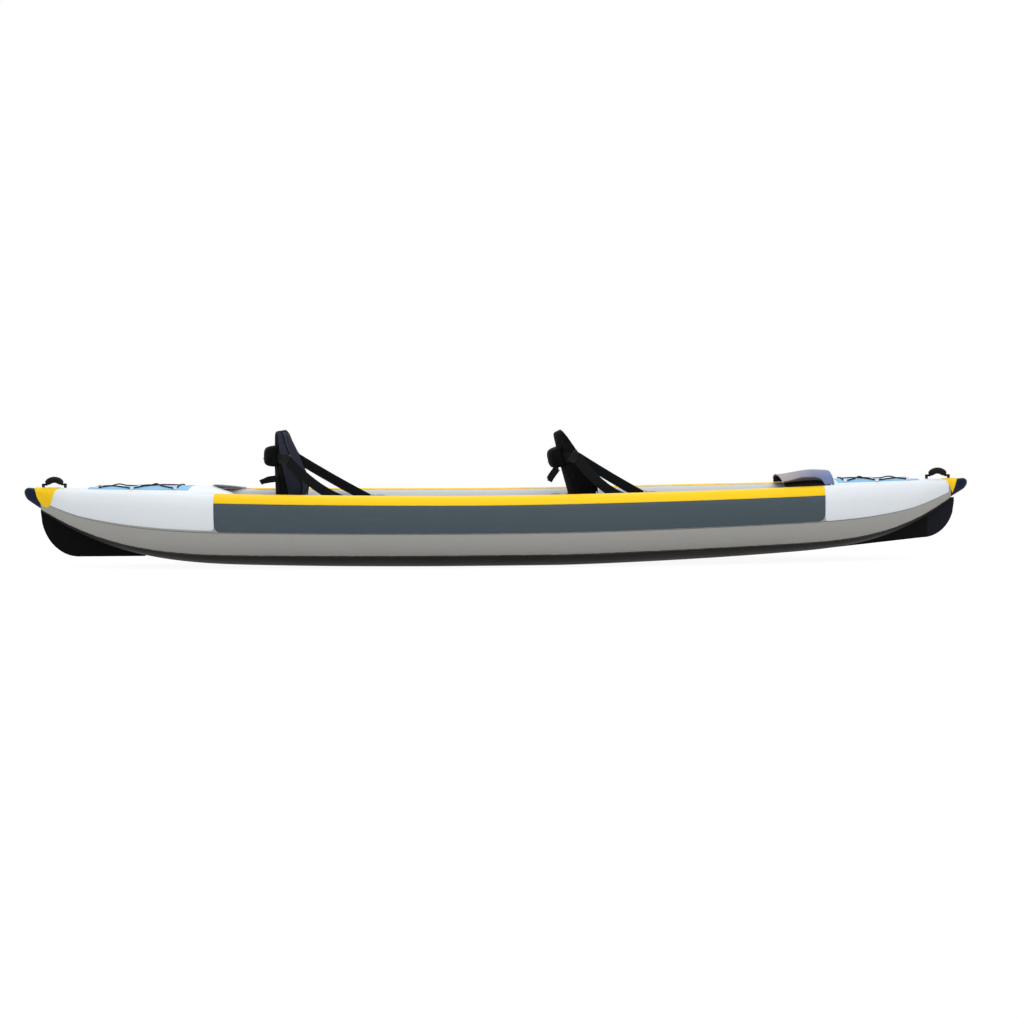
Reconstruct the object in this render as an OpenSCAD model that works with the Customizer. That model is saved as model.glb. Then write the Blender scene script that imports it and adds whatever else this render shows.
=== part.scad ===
// Inflatable tandem kayak: drop-stitch floor and side chambers, fabric decks,
// two folding seats, carry handles, valves and deck lacing. Millimetres.
// X runs from stern to bow, Y to port, Z up. The origin is on the ground,
// under the middle of the hull.

/* [Hull] */
// Length of the hull over both nose caps
hull_len = 4400; // [4200:10:4600]
// Length of each nose cap
nose_len = 80; // [60:5:100]
// Beam over the side chambers
beam = 900; // [840:5:960]
// Width across the lower seams amidships
chine_w = 660; // [620:5:700]
// Height of the gunwale amidships
gunwale_h = 330; // [310:5:350]
// Extra gunwale height at the ends
sheer_rise = 36; // [20:2:50]
// Height of the lower seam amidships
chine_h = 54; // [44:2:64]
// Lift of the lower seam from midships to the bow
bow_rocker = 60; // [40:2:70]
// Sweep of the lower seam up to the bow tip
bow_sweep = 170; // [150:5:180]
// Lift of the lower seam from midships to the stern
stern_rocker = 12; // [6:2:30]
// Sweep of the lower seam up to the stern tip
stern_sweep = 205; // [185:5:215]
// Thickness of a side chamber at its top
wall_thick = 130; // [115:5:140]
// Thickness of a side chamber at its foot
foot_thick = 100; // [85:5:110]
// Height of the floor chamber above the lower seam
floor_thick = 65; // [55:5:75]
// Thickness of the floor mat
mat_thick = 5; // [3:1:8]
// Thickness of a skeg plate
skeg_thick = 12; // [8:1:16]

/* [Skins and decks] */
// Thickness of the welded skins
skin_thick = 1.6; // [1:0.2:2.4]
// Thickness of the deck fabric
deck_thick = 2.4; // [1.8:0.2:3]
// Rise of the deck over its side tubes at full beam
deck_crown = 34; // [20:2:44]
// Length from the bow deck's edge to the nose cap
bow_deck_len = 579; // [540:1:620]
// Length from the stern deck's edge, at its middle, to the nose cap
stern_deck_len = 798; // [770:1:830]
// Depth of the bay in the stern deck's edge
stern_deck_bay = 130; // [80:5:150]
// Length of the white side panel at the bow, to the nose cap
bow_panel_len = 616; // [600:1:650]
// Length of the white side panel at the stern, to the nose cap
stern_panel_len = 840; // [810:1:870]
// Length of the splash guard
guard_len = 225; // [190:5:240]
// Height of the splash guard's crown over the gunwale
guard_h = 60; // [45:1:75]
// Height of the cut-outs in the guard's sides
guard_gap = 34; // [24:1:40]

/* [Seats] */
// Distance from the stern deck's edge forward to the rear seat's hinge
rear_hinge_room = 322; // [300:1:340]
// Distance from the bow deck's edge back to the front seat's hinge
front_hinge_room = 1146; // [1140:1:1170]
// Lean of the rear backrest
rear_lean = 1; // [0:0.5:4]
// Lean of the front backrest
front_lean = 15; // [10:0.5:16]
// Length of a seat cushion
cushion_len = 400; // [360:5:430]
// Width of a seat cushion
cushion_w = 410; // [380:5:430]
// Thickness of a seat cushion
cushion_h = 62; // [50:2:70]
// Height of a backrest along its slope
back_len = 430; // [420:5:470]
// Widest width of a backrest
back_w = 430; // [400:5:450]
// Thickness of a backrest's padding
back_thick = 46; // [38:2:54]
// How far a backrest's sides wrap forward at its top
back_wrap = 64; // [50:2:80]
// How far a backrest's sides wrap forward at their foot
back_wrap_foot = 136; // [110:2:150]
// Height of the sides' foot over the hinge
wing_rise = 96; // [80:2:110]
// Width of the seat webbing
strap_w = 45; // [36:1:48]
// Thickness of the seat webbing
strap_thick = 2.5; // [1.8:0.1:3.2]
// Distance from the rear seat's hinge forward to its front rings
rear_seat_reach = 442; // [420:1:460]
// Distance from the front seat's hinge forward to its front rings
front_seat_reach = 352; // [340:1:380]
// Distance from a seat's hinge back to its rear rings
rear_ring_reach = 110; // [90:1:110]

/* [Fittings] */
// Radius of a ring's wire
ring_wire = 2.5; // [2:0.1:3]
// Radius of a ring's bow
ring_bow = 16; // [14:0.5:18]
// Radius of a ring's patch
patch_r = 56; // [48:1:60]
// Thickness of a ring's patch
patch_thick = 2; // [1.5:0.5:3]
// Width of the handle webbing
handle_w = 20; // [16:1:22]
// Radius of the handle grips
grip_r = 12.5; // [11.5:0.5:14]
// Radius of a valve's bore
valve_bore = 15; // [13:0.5:16]
// Travel of a valve's plunger
plunger_travel = 6; // [4:0.5:7]
// Radius of the drain's bore
drain_bore = 12; // [10:0.5:14]
// Radius of the deck lacing
lacing_r = 3; // [2.5:0.1:3.4]

/* [Hidden] */
$fn = 48;

// Clearances: between pieces that lie together, and between the two chambers
gap = 0.3;
half_gap = 0.15;
// Extra length that lets a cut run past a face
over = 2;

// Derived hull values
body_half = hull_len / 2 - nose_len;
bow_deck_edge = body_half - bow_deck_len;
stern_deck_edge = body_half - stern_deck_len;
panel_fore = body_half - bow_panel_len;
panel_aft = body_half - stern_panel_len;
rear_hinge_x = rear_hinge_room - stern_deck_edge;
front_hinge_x = bow_deck_edge - front_hinge_room;
nose_half = 42;
nose_chine = 16;
nose_mid = 1;
nose_lift = 8;
nose_tip = 0.985;
plan_power = 2.7;
chine_power = 2.2;
rocker_power = 1.2;
flat_half = 300;
bow_sweep_start = body_half - 770;
stern_sweep_start = body_half - 1020;
sweep_power = 3;
sheer_power = 1.5;
belly = 0.3;
tip_depth = 10;
bilge_share = 0.62;
tip_flat = 5;
seam_v = 4 / 7;
strip_v = 1.25;
strip_top_v = 2.4;
stations = 34;

// Colours, as red, green and blue
black = [0.06, 0.06, 0.065];
navy = [0.05, 0.07, 0.13];
charcoal = [0.13, 0.14, 0.18];
side_grey = [0.52, 0.51, 0.49];
wall_grey = [0.78, 0.78, 0.79];
panel_grey = [0.27, 0.31, 0.34];
yellow = [0.98, 0.78, 0.05];
white = [0.92, 0.94, 0.95];
sky = [0.48, 0.75, 0.92];
guard_grey = [0.42, 0.44, 0.54];
patch_grey = [0.6, 0.67, 0.73];
steel = [0.75, 0.75, 0.76];
brass = [0.72, 0.56, 0.28];

function mix(a, b, t) = a + (b - a) * t;
function clamp01(t) = min(1, max(0, t));
function ease(t) = clamp01(t) * clamp01(t) * (3 - 2 * clamp01(t));
function steps(n) = [for (i = [0:n]) i / n];
function reversed(list) = [for (i = [len(list) - 1:-1:0]) list[i]];
function bezier(a, b, c, t) = mix(mix(a, b, t), mix(b, c, t), t);

// Hull lines, as functions of the station x
function span(x) = min(1, abs(x) / body_half);
function taper(x, power) = 1 - pow(span(x), power);
function breadth(x) = mix(nose_half, beam / 2, taper(x, plan_power));
function chine_y(x) = mix(nose_chine, chine_w / 2, taper(x, chine_power));
function reach(x, start) = clamp01((abs(x) - start) / (body_half - start));
function lift(x, rocker, sweep, start) =
    rocker * pow(reach(x, flat_half), rocker_power) + sweep * pow(reach(x, start), sweep_power);
function rise(x) = x > 0
    ? lift(x, bow_rocker, bow_sweep, bow_sweep_start)
    : lift(x, stern_rocker, stern_sweep, stern_sweep_start);
function chine_z(x) = chine_h + rise(x);
function bottom_z(x) = rise(x) + (chine_h - tip_depth) * pow(reach(x, flat_half), sweep_power);
function gunwale_z(x) = gunwale_h + sheer_rise * pow(span(x), sheer_power);
function wall_t(x) = min(wall_thick, breadth(x) - half_gap);
function tube_r(x) = wall_t(x) / 2;
function foot_y(x) = max(half_gap, chine_y(x) - foot_thick);
function inner_y(x) = breadth(x) - wall_t(x);
function shoulder_z(x) = gunwale_z(x) - tube_r(x);
function crown(x) = deck_crown * (breadth(x) - tube_r(x)) / (beam / 2 - wall_thick / 2);

// The side chamber's outline at station x, port side, as [y, z]:
// v 0 to 1 the outer side, 1 to 3 the round top, 3 to 4 the inner side
function wall_pt(x, v) =
    v <= 1 ? bezier([chine_y(x), chine_z(x)],
                    [breadth(x), mix(chine_z(x), gunwale_z(x), belly)],
                    [breadth(x), shoulder_z(x)], v)
    : v <= 3 ? [breadth(x) - tube_r(x) * (1 - cos(90 * (v - 1))),
                shoulder_z(x) + tube_r(x) * sin(90 * (v - 1))]
    : mix([inner_y(x), shoulder_z(x)], [foot_y(x), chine_z(x)], v - 3);

// The nose cap carries on from the end of the chambers, turns up and shrinks to a round tip
function nose_share(x) = max(0, abs(x) - body_half) / nose_len;
function nose_scale(x) = sqrt(1 - pow(nose_share(x), 2));
function nose_centre(x) = mix(chine_z(x), gunwale_z(x), nose_mid);

// The outside of the hull at station x: as wall_pt up to v 2, then the deck to the middle at 3
function deck_rim(x) = breadth(x) - tube_r(x);
function body_pt(x, v) =
    v <= 2 ? wall_pt(x, v)
    : [deck_rim(x) * (3 - v), gunwale_z(x) + crown(x) * (1 - pow(3 - v, 2))];
function outer_pt(x, v) =
    let (p = body_pt(x, v), s = nose_scale(x), c = nose_centre(x))
    [p[0] * s, c + (p[1] - c) * s + nose_lift * nose_share(x)];

// Outward normal of an outline f(x, v), from its slope along v
slope_step = 0.01;
function normal(f, x, v) =
    let (a = f(x, max(0, v - slope_step)), b = f(x, v + slope_step), d = b - a)
    [d[1], -d[0]] / norm(d);
function raised(f, x, v, h) =
    let (p = f(x, v), n = normal(f, x, v))
    [x, p[0] + n[0] * h, p[1] + n[1] * h];

// A closed mesh through rings of points that run counter-clockwise seen from the far end.
// With strip_caps each end is closed between the ring's two halves.
module loft(rings, strip_caps = false) {
    n = len(rings[0]);
    m = len(rings);
    last = (m - 1) * n;
    // In a skin both faces are cut along the same diagonals
    sides = [for (i = [0:m - 2], j = [0:n - 1])
        let (a = i * n + j, b = i * n + (j + 1) % n, c = b + n, d = a + n)
        each strip_caps && j >= n / 2 ? [[a, d, b], [d, c, b]] : [[a, d, c], [a, c, b]]];
    quads = [for (j = [0:n / 2 - 2])
        each [[j, j + 1, n - 2 - j], [j, n - 2 - j, n - 1 - j]]];
    near = strip_caps ? quads : [[for (j = [0:n - 1]) j]];
    far = [for (f = near) [for (j = reversed(f)) j + last]];
    polyhedron([for (r = rings) each r], concat(sides, near, far), convexity = 6);
}

// A skin over the outline f: from x0(v) to x1(v), for the listed v, between two heights
module skin(f, vs, x0, x1, rows, low, high) {
    loft([for (s = steps(rows)) concat(
        [for (v = vs) raised(f, mix(x0(v), x1(v), s), v, high)],
        reversed([for (v = vs) raised(f, mix(x0(v), x1(v), s), v, low)]))], true);
}

// A skin on the side chamber between x0 and x1, with a row at each of the chamber's own
// stations, and its corners rounded off by the inset that each v has at the two ends
module wall_skin(vs, x0, x1, inset, low, high) {
    f = function(x, v) wall_pt(x, v);
    inside = [for (x = hull_xs) if (x > x0 + 2 * corner_r && x < x1 - 2 * corner_r) x];
    rows = concat([x0, x0 + corner_r], inside, [x1 - corner_r, x1]);
    place = function(x, v) min(max(x, x0 + inset(v)), x1 - inset(v));
    loft([for (x = rows) concat(
        [for (v = vs) raised(f, place(x, v), v, high)],
        reversed([for (v = vs) raised(f, place(x, v), v, low)]))], true);
}

module both_sides() {
    children();
    mirror([0, 1, 0]) children();
}

// Hull shells
// Stations lie closer together towards the ends, where the hull bends most
station_sweep = 84;
hull_xs = [for (s = steps(stations)) body_half * sin(station_sweep * (2 * s - 1)) / sin(station_sweep)];
// Rows that lie between a piece's two ends keep this far from both
row_room = 12;
outer_vs = steps(7);
arc_vs = [for (s = steps(8)) 1 + 2 * s];
inner_vs = [3.5, 4];

module hull_bottom() {
    color(black) difference() {
        loft([for (x = hull_xs) let (c = chine_y(x), b = max(tip_flat, c * bilge_share * taper(x, 2)), z = bottom_z(x),
                                     top = chine_z(x) - gap, bilge = [mix(b, c, 0.62), mix(z, top, 0.3)])
            [[x, -b, z], [x, b, z], [x, bilge[0], bilge[1]], [x, c, top],
             [x, -c, top], [x, -bilge[0], bilge[1]]]]);
        drain_hole();
    }
}

// Where the floor chamber still has room between the side chambers
floor_end_room = 30;
floor_xs = [for (x = hull_xs) if (foot_y(x) > floor_end_room) x];
function floor_top(x) = chine_z(x) + floor_thick;
// The floor's top as built, straight between the stations
function floor_line(x) =
    let (i = station(x), a = hull_xs[i], b = hull_xs[i + 1])
    mix(floor_top(a), floor_top(b), (x - a) / (b - a));
function inner_edge(x, z) =
    mix(foot_y(x), inner_y(x), (z - chine_z(x)) / (shoulder_z(x) - chine_z(x))) - 6 * gap;

module floor_chamber() {
    color(wall_grey) difference() {
        loft([for (x = floor_xs) let (low = chine_z(x), top = floor_top(x),
                                      a = inner_edge(x, low), b = inner_edge(x, top))
            [[x, -a, low], [x, a, low], [x, b, top], [x, -b, top]]]);
        valve_pocket(floor_valve_at);
        drain_hole();
    }
}

mat_margin = 14;
mat_fore_room = 120;
mat_aft_room = 40;
mat_fore = bow_deck_edge - mat_fore_room;
mat_aft = stern_deck_edge - mat_aft_room;
mat_xs = concat([-mat_aft], [for (x = hull_xs) if (x > row_room - mat_aft && x < mat_fore - row_room) x], [mat_fore]);
module floor_mat() {
    color(patch_grey) difference() {
        loft([for (x = mat_xs) let (low = floor_line(x) + gap, w = inner_edge(x, floor_top(x)) - mat_margin)
            [[x, -w, low], [x, w, low], [x, w, low + mat_thick], [x, -w, low + mat_thick]]]);
        at_valve(floor_valve_at) cylinder(r = flange_r + gap, h = 4 * mat_thick, center = true);
        translate([drain_x, 0, 0]) cylinder(r = drain_flange_r + gap, h = gunwale_h);
    }
}

module side_chamber() {
    loft([for (x = hull_xs) [for (v = concat(outer_vs, [for (i = [1:8]) arc_vs[i]], inner_vs))
        let (p = wall_pt(x, v)) [x, p[0], p[1]]]], true);
}

module port_side_chamber() {
    color(side_grey) difference() {
        side_chamber();
        valve_pocket(side_valve_at);
    }
}

module starboard_side_chamber() {
    mirror([0, 1, 0]) port_side_chamber();
}

// Welded skins on the outside of the hull
corner_r = 26;
function corner_inset(v, v0, v1, height) =
    let (d = min(v - v0, v1 - v) / (v1 - v0) * height, q = max(0, 1 - d / corner_r))
    corner_r * (1 - sqrt(1 - min(1, q * q)));
panel_vs = [seam_v, mix(seam_v, 1, 0.06), mix(seam_v, 1, 0.16), 5 / 7, 6 / 7, 1, 1.125, strip_v];
panel_height = 120;
// The strip's outer part, and its inner part, which stops short of the stern deck's horns
top_join = 0.004;
strip_outer_vs = [strip_v + top_join, 1.5, 1.75, 2 - top_join];
strip_inner_vs = [2 + top_join, 2.25, strip_top_v];
strip_inner_aft = stern_deck_edge - stern_deck_bay - 2 * gap;
function deck_line(x, v) = outer_pt(x, v);

module rub_panel() {
    color(panel_grey) wall_skin(panel_vs, -panel_aft, panel_fore,
        function(v) corner_inset(v, seam_v, 2 * strip_v, panel_height), gap, gap + skin_thick);
}
module port_rub_panel() { rub_panel(); }
module starboard_rub_panel() { mirror([0, 1, 0]) rub_panel(); }

module gunwale_strip() {
    color(yellow) {
        wall_skin(strip_outer_vs, -panel_aft, panel_fore, function(v) 0, gap, gap + skin_thick);
        wall_skin(strip_inner_vs, -strip_inner_aft, panel_fore, function(v) 0, 2 * gap, gap + skin_thick);
    }
}
module port_gunwale_strip() { gunwale_strip(); }
module starboard_gunwale_strip() { mirror([0, 1, 0]) gunwale_strip(); }

// White side panels run from the dark panel to the nose, under the end patches
side_panel_end = body_half - 12;
white_vs = [seam_v, 5 / 7, 6 / 7, 1, 1.25, 1.5, 1.75, 2 - 2 * top_join];
module deck_side_panels() {
    color(white) both_sides() {
        wall_skin(white_vs, panel_fore + gap, side_panel_end, function(v) 0, gap, gap + skin_thick);
        wall_skin(white_vs, -side_panel_end, -panel_aft - gap, function(v) 0, gap, gap + skin_thick);
    }
}

// Fabric decks: from tube to tube, with the cockpit edge cut to a bay
deck_width = 0.985;
deck_across = [for (s = steps(10)) deck_width * (2 * s - 1)];
deck_end = body_half - 30;
function deck_pt(x, w) = [deck_rim(x) * w, gunwale_z(x) + crown(x) * (1 - w * w)];
function stern_edge(w) = -stern_deck_edge + stern_deck_bay * w * w;

module deck_sheet(ws, rows, low, high) {
    loft([for (row = rows) let (xs = [for (w = ws) row(w)]) concat(
        [for (i = [0:len(ws) - 1]) let (p = deck_pt(xs[i], ws[i])) [xs[i], p[0], p[1] + low]],
        reversed([for (i = [0:len(ws) - 1]) let (p = deck_pt(xs[i], ws[i])) [xs[i], p[0], p[1] + high]]))],
        true);
}
// Rows across a deck at the chambers' stations, clear of its two ends
function level_rows(x0, x1) =
    [for (x = concat([x0], [for (a = hull_xs) if (a > x0 + row_room && a < x1 - row_room) a], [x1])) function(w) x];
// The stern deck's last rows bend to the bay in its edge
stern_bend_len = 90;
stern_level = -stern_deck_edge - stern_bend_len;
stern_rows = concat(level_rows(-deck_end, stern_level),
    [for (q = [0.35, 0.7, 1]) function(w) mix(stern_level, stern_edge(w), q)]);
module bow_deck() {
    color(white) deck_sheet(deck_across, level_rows(bow_deck_edge, deck_end), gap, gap + deck_thick);
}
module stern_deck() {
    color(white) deck_sheet(deck_across, stern_rows, gap, gap + deck_thick);
}

// Blue inserts in the middle of the decks
insert_across = [for (s = steps(10)) 0.8 * deck_width * (2 * s - 1)];
insert_low = 2 * gap + deck_thick;
bow_insert = [body_half - 542, body_half - 150];
stern_insert = [225 - body_half, 708 - body_half];
module deck_inserts() {
    color(sky) for (range = [bow_insert, stern_insert])
        deck_sheet(insert_across, level_rows(range[0], range[1]), insert_low, insert_low + skin_thick);
}

// Splash guard: a hood over the bow deck's edge, cut out at its sides over a dark lining.
// Its feet stand on the gunwales and its upright front on the deck.
guard_fore = bow_deck_edge + 6;
guard_aft = guard_fore - guard_len;
guard_sheet = 3;
lining_sheet = 2;
guard_ws = [for (s = steps(18)) 2 * s - 1];
guard_turn = 0.9;
guard_rows = [0, 0.05, 0.13, 0.25, 0.4, 0.55, 0.68, 0.78, 0.86, guard_turn, 0.925, 0.95, 0.975, 1];
guard_overhang = 28;
guard_slope = 3;
// Share of the way along the top, and of the way down the front
function guard_along(s) = min(1, s / guard_turn);
function guard_down(s) = clamp01((s - guard_turn) / (1 - guard_turn));
function guard_y(x, w) = (deck_rim(x) - 6) * w;
function guard_base(x) = gunwale_z(x) + gap + deck_thick + gap;
// The cut-out's arch: highest in the middle of the guard's length, closed at its front foot
guard_open = [0.07, 0.84];
function guard_opening(a) =
    let (q = (a - guard_open[0]) / (guard_open[1] - guard_open[0]))
    q <= 0 || q >= 1 ? 0 : guard_gap * sin(180 * sqrt(q));
function guard_profile(a) = mix(0.7, 1, ease(a / 0.7)) - 0.06 * ease((a - 0.7) / 0.3);
// The deck's own crown, which the guard clears at its front
function guard_room(x, w) = crown(x) * (1 - pow(guard_y(x, w) / deck_rim(x), 2)) + 2 * gap;
function guard_arch(x, w, a, open) =
    guard_base(x) + max(guard_h * (1 - pow(abs(w), 2.6)) * guard_profile(a), guard_room(x, w) * ease((a - 0.9) / 0.05),
                        open * guard_opening(a) * ease(3 * abs(w) - 2));
function guard_top(x, w, s, open) =
    mix(guard_arch(x, w, guard_along(s), open),
        guard_base(x) + guard_room(x, w), guard_down(s));
// The sheet's thickness turns from up to forward where the front drops
function guard_point(s, w, h, open) =
    let (a = guard_along(s), turn = 90 * ease((s - guard_turn + 0.06) / 0.1),
         x = mix(guard_aft, guard_fore, a) - guard_overhang * (1 - w * w) * (1 - a) + guard_slope * guard_down(s))
    [x + h * sin(turn), guard_y(x, w), guard_top(x, w, s, open) + h * cos(turn)];
module guard_shell(low, high, open) {
    loft([for (s = guard_rows) concat(
        [for (w = guard_ws) guard_point(s, w, low, open)],
        reversed([for (w = guard_ws) guard_point(s, w, high, open)]))], true);
}
module splash_guard() {
    color(guard_grey) guard_shell(lining_sheet + gap, lining_sheet + gap + guard_sheet, 1);
}
module splash_guard_lining() {
    color(black) guard_shell(0, lining_sheet, 0);
}

// Nose caps and end patches
nose_vs = concat(outer_vs, [for (i = [1:4]) arc_vs[i]]);
function nose_ring(x) = concat(
    [for (v = nose_vs) let (p = outer_pt(x, v)) [x, p[0], p[1]]],
    reversed([for (v = nose_vs) let (p = outer_pt(x, v)) [x, -p[0], p[1]]]));
nose_angles = [for (s = steps(9)) asin(nose_tip) * s];
module nose_cap(end) {
    xs = [for (a = nose_angles) end * (body_half + gap + nose_len * sin(a))];
    color(navy) loft([for (x = end > 0 ? xs : reversed(xs)) nose_ring(x)]);
}
module bow_nose_cap() { nose_cap(1); }
module stern_nose_cap() { nose_cap(-1); }

patch_low = insert_low + gap;
patch_foot_v = 0.38;
patch_round_v = 0.5;
end_patch_vs = concat([for (s = [0, 0.06, 0.2, 0.5]) patch_foot_v + patch_round_v * s],
    [for (s = steps(9)) mix(patch_foot_v + patch_round_v, 2.99, s)]);
end_patch_over = 28;
bow_patch_start = body_half - 41;
stern_patch_start = body_half - 93;
patch_slant = 46;
function patch_aft(v, start) = start + patch_slant * pow((3 - v) / 2.62, 1.5);
function patch_fore(v) = body_half + end_patch_over * (1 - pow((v - 2) / 1.9, 2));
// Both edges close in on the round foot
function foot_round(v) = 1 - sqrt(1 - pow(0.94 * clamp01(1 - (v - patch_foot_v) / patch_round_v), 2));
function patch_inner(v, start) = mix(patch_aft(v, start), (patch_aft(v, start) + patch_fore(v)) / 2, foot_round(v));
function patch_outer(v, start) = mix(patch_fore(v), (patch_aft(v, start) + patch_fore(v)) / 2, foot_round(v));
function patch_row(end, s, start, h) =
    let (half = [for (v = end_patch_vs)
        raised(function(x, u) deck_line(x, u), end * mix(patch_inner(v, start), patch_outer(v, start), s), v, h)])
    concat(half, [for (i = [len(half) - 1:-1:0]) [half[i][0], -half[i][1], half[i][2]]]);
module end_patch(end, start) {
    rows = steps(4);
    color(yellow) loft([for (s = end > 0 ? rows : reversed(rows))
        concat(patch_row(end, s, start, patch_low + skin_thick),
               reversed(patch_row(end, s, start, patch_low)))], true);
}
module bow_end_patch() { end_patch(1, bow_patch_start); }
module stern_end_patch() { end_patch(-1, stern_patch_start); }

// Skegs: moulded plates under the ends, with an elliptical corner
module skeg(end, root, corner, tip, foot) {
    top_xs = concat([root[0]], [for (x = hull_xs) if (x > root[0] + row_room) x]);
    edge = [for (a = [90:-10:0]) [corner[0] + (tip - corner[0]) * cos(a), corner[1] - (corner[1] - foot) * sin(a)]];
    outline = concat([for (x = top_xs) [x, bottom_z(end * x) - gap]],
                     [[tip, bottom_z(end * body_half) - gap]], reversed(edge), [root]);
    color(black) mirror([end > 0 ? 0 : 1, 0, 0]) translate([0, skeg_thick / 2, 0]) rotate([90, 0, 0])
        linear_extrude(skeg_thick) polygon(outline);
}
bow_skeg_tip = body_half + 18;
stern_skeg_tip = body_half + 5;
bow_skeg_corner = [body_half - 128, 262];
bow_skeg_root = [body_half - 620, 46];
bow_skeg_foot = 97;
stern_skeg_corner = [body_half - 170, 256];
stern_skeg_root = [body_half - 480, 47];
stern_skeg_foot = 48;
module bow_skeg() { skeg(1, bow_skeg_root, bow_skeg_corner, bow_skeg_tip, bow_skeg_foot); }
module stern_skeg() { skeg(-1, stern_skeg_root, stern_skeg_corner, stern_skeg_tip, stern_skeg_foot); }

// Deck lacing: one closed cord between three pairs of loops, crossing itself twice
bow_pairs = [for (room = [510, 355, 200]) body_half - room];
stern_pairs = [for (room = [650, 440, 265]) room - body_half];
loop_across = 0.76;
lacing_lift = insert_low + skin_thick + lacing_r + gap + 0.5;
bend_r = 11;
hump = 2 * lacing_r + 0.8;
hump_reach = 55;
function deck_place(x, y, h) =
    let (rim = deck_rim(x), w = y / rim) [x, y, gunwale_z(x) + crown(x) * (1 - w * w) + h];
function loop_at(x, side) = [x, side * deck_rim(x) * loop_across];
function lacing_corners(p) = [loop_at(p[0], 1), loop_at(p[1], -1), loop_at(p[2], 1),
                              loop_at(p[2], -1), loop_at(p[1], 1), loop_at(p[0], -1)];
function unit(v) = v / norm(v);
// The bend at c, between its neighbours a and b: its half angle, its run-out and its points
function bend_half(a, c, b) = acos(unit(a - c) * unit(b - c)) / 2;
function bend_run(a, c, b) = bend_r / tan(bend_half(a, c, b));
function bend_way(a, c, b) = unit(unit(a - c) + unit(b - c));
function corner_pt(a, c, b, t) =
    let (half = bend_half(a, c, b), way = bend_way(a, c, b), from = unit(a - c),
         side = sign(way[0] * from[1] - way[1] * from[0]),
         angle = atan2(-way[1], -way[0]) + side * (2 * t - 1) * (90 - half))
    c + way * bend_r / sin(half) + bend_r * [cos(angle), sin(angle)];
// Two strands pass over the others, halfway along
function strand_hump(i, q, length) =
    (i == 3 || i == 4) ? hump * pow(cos(90 * min(1, abs(q - 0.5) * length / hump_reach)), 2) : 0;
function lacing_route(pairs) =
    let (c = lacing_corners(pairs), n = len(c))
    [for (i = [0:n - 1])
        let (a = c[(i + n - 1) % n], k = c[i], b = c[(i + 1) % n], e = c[(i + 2) % n],
             from = k + bend_run(a, k, b) * unit(b - k), to = b - bend_run(k, b, e) * unit(b - k),
             length = norm(to - from))
        each concat(
            [for (t = [0, 0.2, 0.4, 0.6, 0.8]) let (p = corner_pt(a, k, b, t))
                deck_place(p[0], p[1], lacing_lift)],
            [for (q = [0, 0.18, 0.34, 0.42, 0.5, 0.58, 0.66, 0.82])
                let (p = mix(from, to, q))
                deck_place(p[0], p[1], lacing_lift + strand_hump(i, q, length))])];

// A cord of round section along a closed route
module closed_cord(route, r, sides = 8) {
    n = len(route);
    points = [for (i = [0:n - 1])
        let (t = unit(route[(i + 1) % n] - route[(i + n - 1) % n]),
             s = unit(cross([0, 0, 1], t)), u = cross(t, s))
        each [for (k = [0:sides - 1]) route[i] + r * (cos(360 * k / sides) * s + sin(360 * k / sides) * u)]];
    faces = [for (i = [0:n - 1], k = [0:sides - 1])
        let (a = i * sides + k, b = i * sides + (k + 1) % sides,
             c = (i + 1) % n * sides + (k + 1) % sides, d = (i + 1) % n * sides + k)
        each [[a, d, c], [a, c, b]]];
    polyhedron(points, faces, convexity = 8);
}
module bow_lacing() { color(black) closed_cord(lacing_route(bow_pairs), lacing_r); }
module stern_lacing() { color(black) closed_cord(lacing_route(stern_pairs), lacing_r); }

// Webbing loops: half tunnels over the cord's corners
loop_in = lacing_r + 2.4;
loop_thick = 1.6;
loop_w = 9;
module lacing_loop(a, c, b) {
    p = corner_pt(a, c, b, 0.5);
    leg = lacing_lift - insert_low - skin_thick - gap;
    base = deck_place(p[0], p[1], lacing_lift);
    way = bend_way(a, c, b);
    slope = atan((deck_place(p[0], p[1] + 5, 0)[2] - deck_place(p[0], p[1] - 5, 0)[2]) / 10);
    translate(base) rotate([slope, 0, 0]) rotate([0, 0, 90 + atan2(way[1], way[0])])
        rotate([90, 0, 90]) translate([0, 0, -loop_w / 2]) linear_extrude(loop_w) difference() {
            union() {
                circle(r = loop_in + loop_thick);
                translate([-loop_in - loop_thick, -leg]) square([2 * (loop_in + loop_thick), leg]);
            }
            circle(r = loop_in);
            translate([-loop_in, -20]) square([2 * loop_in, 20]);
            translate([-20, -40 - leg]) square([40, 40]);
        }
}
module lacing_loops() {
    color(white) for (pairs = [bow_pairs, stern_pairs]) {
        c = lacing_corners(pairs);
        for (i = [0:5]) lacing_loop(c[(i + 5) % 6], c[i], c[(i + 1) % 6]);
    }
}

// Carry handles: a webbing arch that swings on two anchors.
// In its own frame the hinge axis is X and the arch stands up along Z.
knuckle_r = 5;
knuckle_len = 14;
anchor_len = 12;
handle_thick = 2.6;
handle_axis_h = 12;
function arch_r(length, tall) = (pow(length / 2, 2) + tall * tall) / (2 * tall);
function arch_angle(length, tall) = asin(length / 2 / arch_r(length, tall));
module arch(length, tall, angle) {
    r = arch_r(length, tall);
    translate([0, 0, tall - r]) rotate([90, 0, 0]) rotate([0, 0, 90 - angle])
        rotate_extrude(angle = 2 * angle) translate([r, 0]) children();
}
module handle_strap(length, tall) {
    color(black) {
        arch(length, tall, arch_angle(length, tall)) square([handle_thick, handle_w], center = true);
        for (end = [-1, 1]) translate([end * length / 2, 0, 0]) rotate([0, 90, 0])
            cylinder(r = knuckle_r, h = knuckle_len, center = true);
    }
}
module handle_grip(length, tall, angle) {
    color(charcoal) arch(length, tall, angle) difference() {
        circle(r = grip_r);
        square([handle_thick + 2 * gap, handle_w + 2 * gap], center = true);
    }
}
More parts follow.
